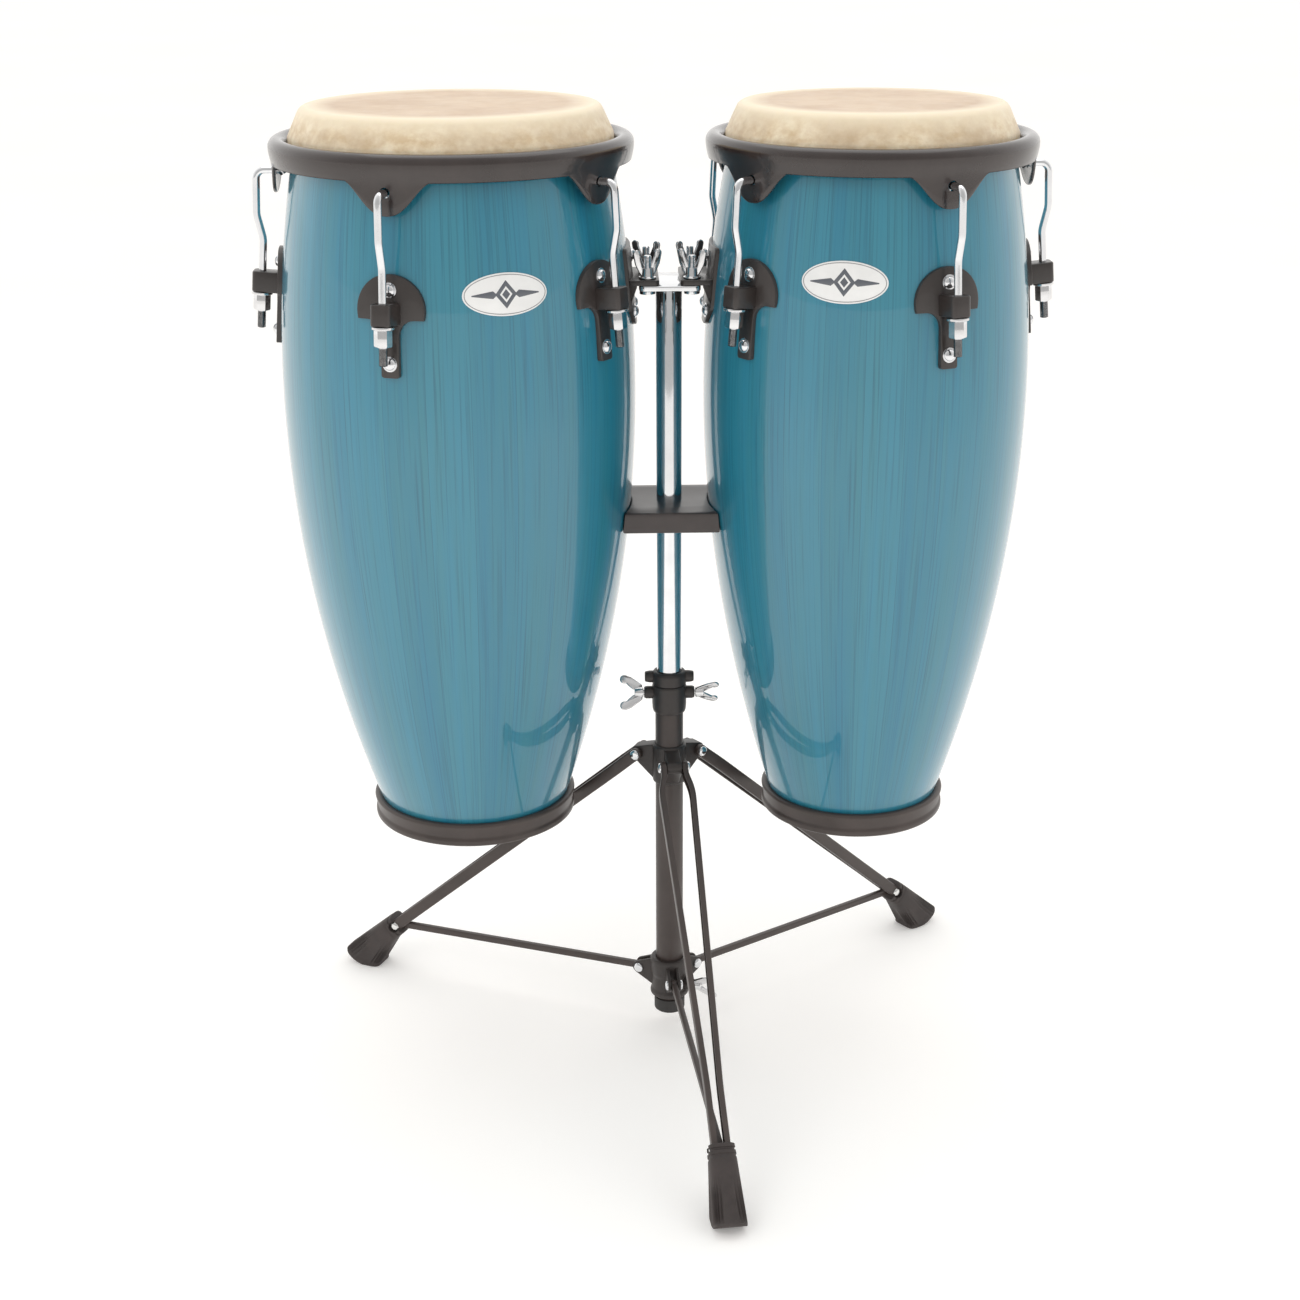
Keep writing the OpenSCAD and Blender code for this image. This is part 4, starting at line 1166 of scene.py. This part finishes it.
def make_foot(name):
    """Moulded rubber boot: a ribbed collar round the rivet, then a fluted block with a turned-up toe."""
    shape = Shape()
    steps = 168
    leg = on_leg(name)
    sole_at = towards_leg(name)
    collar = ((-3.4, 23.0), (-2.8, 25.4), (0.4, 26.0), (1.2, 24.0), (2.6, 23.9), (3.4, 26.2), (6.4, 26.6),
              (7.2, 25.0), (8.6, 25.0), (9.6, 26.2), (11, 26.6))
    loops = [[leg @ Vector((LEG_LEN + along, y, z)) for z, y in superellipse(width * 0.96, width, 3.6, steps)]
             for along, width in collar]

    def sole(share, lift=0.0):
        rim = superellipse(SOLE_SIZE[0] * share, SOLE_SIZE[1] * share, 5.5, steps)
        return [sole_at @ Vector((SOLE_R + x, y, 13 * max(0.0, (x + 1) / 22) ** 1.6 + lift))
                for x, y in rim]

    flutes = [0.5 + 0.5 * cos(2 * pi * FLUTES * j / steps) for j in range(steps)]
    for t in (0.1, 0.2, 0.3, 0.4, 0.5, 0.6, 0.7, 0.8, 0.88, 0.94):
        ring = [a.lerp(b, t) for a, b in zip(loops[len(collar) - 1], sole(1, 3.4))]
        core = sum(ring, Vector()) / steps
        depth = 0.085 * min(1.0, max(0.0, (t - 0.25) / 0.35))
        loops.append([core + (p - core) * (1.0 - depth * flute) for p, flute in zip(ring, flutes)])
    loops += [sole(1, 3.4), sole(1, 0.9), sole(0.965), sole(0.7), sole(0.35)]
    shape.loft(Matrix(), loops)
    made = stand_for(shape, "foot_" + name, angle=40)
    drills = Shape()
    for m in (-1, 1):
        eye = along_y(shift(leg, LEG_LEN, m * 13.5))
        drills.spin(eye, [(6.1, -4.6), (6.1, 4.6)], 32)
    cut_out(made, drills, 40)


for drum in SIDES:
    for make in (make_shell, make_bottom_ring, make_head, make_flesh_hoop, make_rim, make_hooks,
                 make_side_plates, make_bolts, make_backing_nuts, make_badge, make_bracket):
        make(drum)
    for number in range(1, LUGS + 1):
        make_nut(drum, number)
    for end in ("front", "back"):
        make_wing_nut(drum, end)
    screw_x = -1 if drum == "left" else 1
    make_wing_screw(f"clamp_screw_{drum}", f"clamp_screw_{drum}_turn", 12, (0, 0, -screw_x), 40)
make_tube("mast", MAST_R, MAST_BORE, 96)
make_memory_lock()
make_top_plate()
make_bumper_block()
make_tube("base_tube", TUBE_R, TUBE_BORE, 96)
make_end_cap()
make_tube("mast_bushing", TUBE_R, MAST_R + 0.08, 64, 32)
make_mast_clamp()
make_leg_collar()
make_pivot_bolts("leg_pivot_bolts", LEG_Z, 6, PIVOT_GAP + STRIP_T / 2 + 0.3)
make_pivot_bolts("brace_pivot_bolts", RUNNER_Z, 5, 6.8)
make_runner()
make_wing_screw("runner_wing_screw", "runner_screw_turn", 13.5, (0, 0, -1), 30)
for leg_name in LEGS:
    make_leg(leg_name)
    make_brace(leg_name)
    make_foot(leg_name)

# ---- Studio ----

scene = bpy.context.scene


def make_floor():
    shape = Shape()
    shape.spin(Matrix.Translation((POST.x, POST.y, -0.0005)), [(40, 0), (40, -0.01)], 64)
    floor = shape.object("floor")
    paint = Paint("paper_floor")
    cloud = paint.noise(paint.where, 1.2, 4.0)
    paint.surface(Base_Color=paint.ramp(cloud, (0.3, (0.93, 0.915, 0.895)), (0.7, (0.95, 0.94, 0.925))),
                  Roughness=0.9, Emission_Color=(1.0, 0.985, 0.965, 1), Emission_Strength=0.17)
    floor.data.materials.append(paint.material)


def make_world():
    """White room, darker on the side the camera stands."""
    world = bpy.data.worlds.new("studio")
    world.use_nodes = True
    tree = world.node_tree
    background = tree.nodes["Background"]
    background.inputs[0].default_value = (1.0, 0.988, 0.97, 1)
    ways = tree.nodes.new("ShaderNodeTexCoord")
    parts = tree.nodes.new("ShaderNodeSeparateXYZ")
    spread = tree.nodes.new("ShaderNodeMapRange")
    spread.interpolation_type = "SMOOTHSTEP"
    for key, value in (("From Min", -0.9), ("From Max", 0.5), ("To Min", 0.55), ("To Max", 1.15)):
        spread.inputs[key].default_value = value
    tree.links.new(ways.outputs["Generated"], parts.inputs[0])
    tree.links.new(parts.outputs[1], spread.inputs[0])
    tree.links.new(spread.outputs[0], background.inputs[1])
    scene.world = world


def make_light(name, spot, aim, size, power, glossy=True):
    data = bpy.data.lights.new(name, "AREA")
    data.shape = "RECTANGLE"
    data.size, data.size_y = size
    data.energy = power
    lamp = bpy.data.objects.new(name, data)
    lamp.location = spot
    lamp.rotation_euler = (Vector(aim) - Vector(spot)).to_track_quat("-Z", "Y").to_euler()
    lamp.visible_glossy = glossy
    scene.collection.objects.link(lamp)


def make_camera():
    """Camera in front of the drums and a little above them; yaw, pitch and roll in degrees."""
    yaw, pitch, roll = (radians(a) for a in (1.305, 20.391, -0.254))
    ahead = Vector((sin(yaw) * cos(pitch), cos(yaw) * cos(pitch), -sin(pitch)))
    right = Vector((cos(yaw), -sin(yaw), 0))
    up = right.cross(ahead)
    x = right * cos(roll) + up * sin(roll)
    y = up * cos(roll) - right * sin(roll)
    data = bpy.data.cameras.new("camera")
    data.sensor_width = 36
    data.lens = 58.09
    camera = bpy.data.objects.new("camera", data)
    spot = Vector((POST.x, POST.y, 0)) + Vector((-0.0651, -2.0008, 1.1740))
    camera.matrix_world = Matrix.Translation(spot) @ Matrix((x, y, -ahead)).transposed().to_4x4()
    scene.collection.objects.link(camera)
    scene.camera = camera


make_floor()
make_world()
scene.view_settings.view_transform = "Standard"
make_light("key", (-1.6, -1.9, 2.2), (0, 0, 0.6), (1.8, 1.8), 16, False)
make_light("fill", (2.0, -1.4, 1.5), (0, 0, 0.6), (1.4, 1.8), 6, False)
make_light("top", (0.1, 0.4, 2.6), (0, 0, 0.5), (2.2, 1.4), 7)
make_camera()
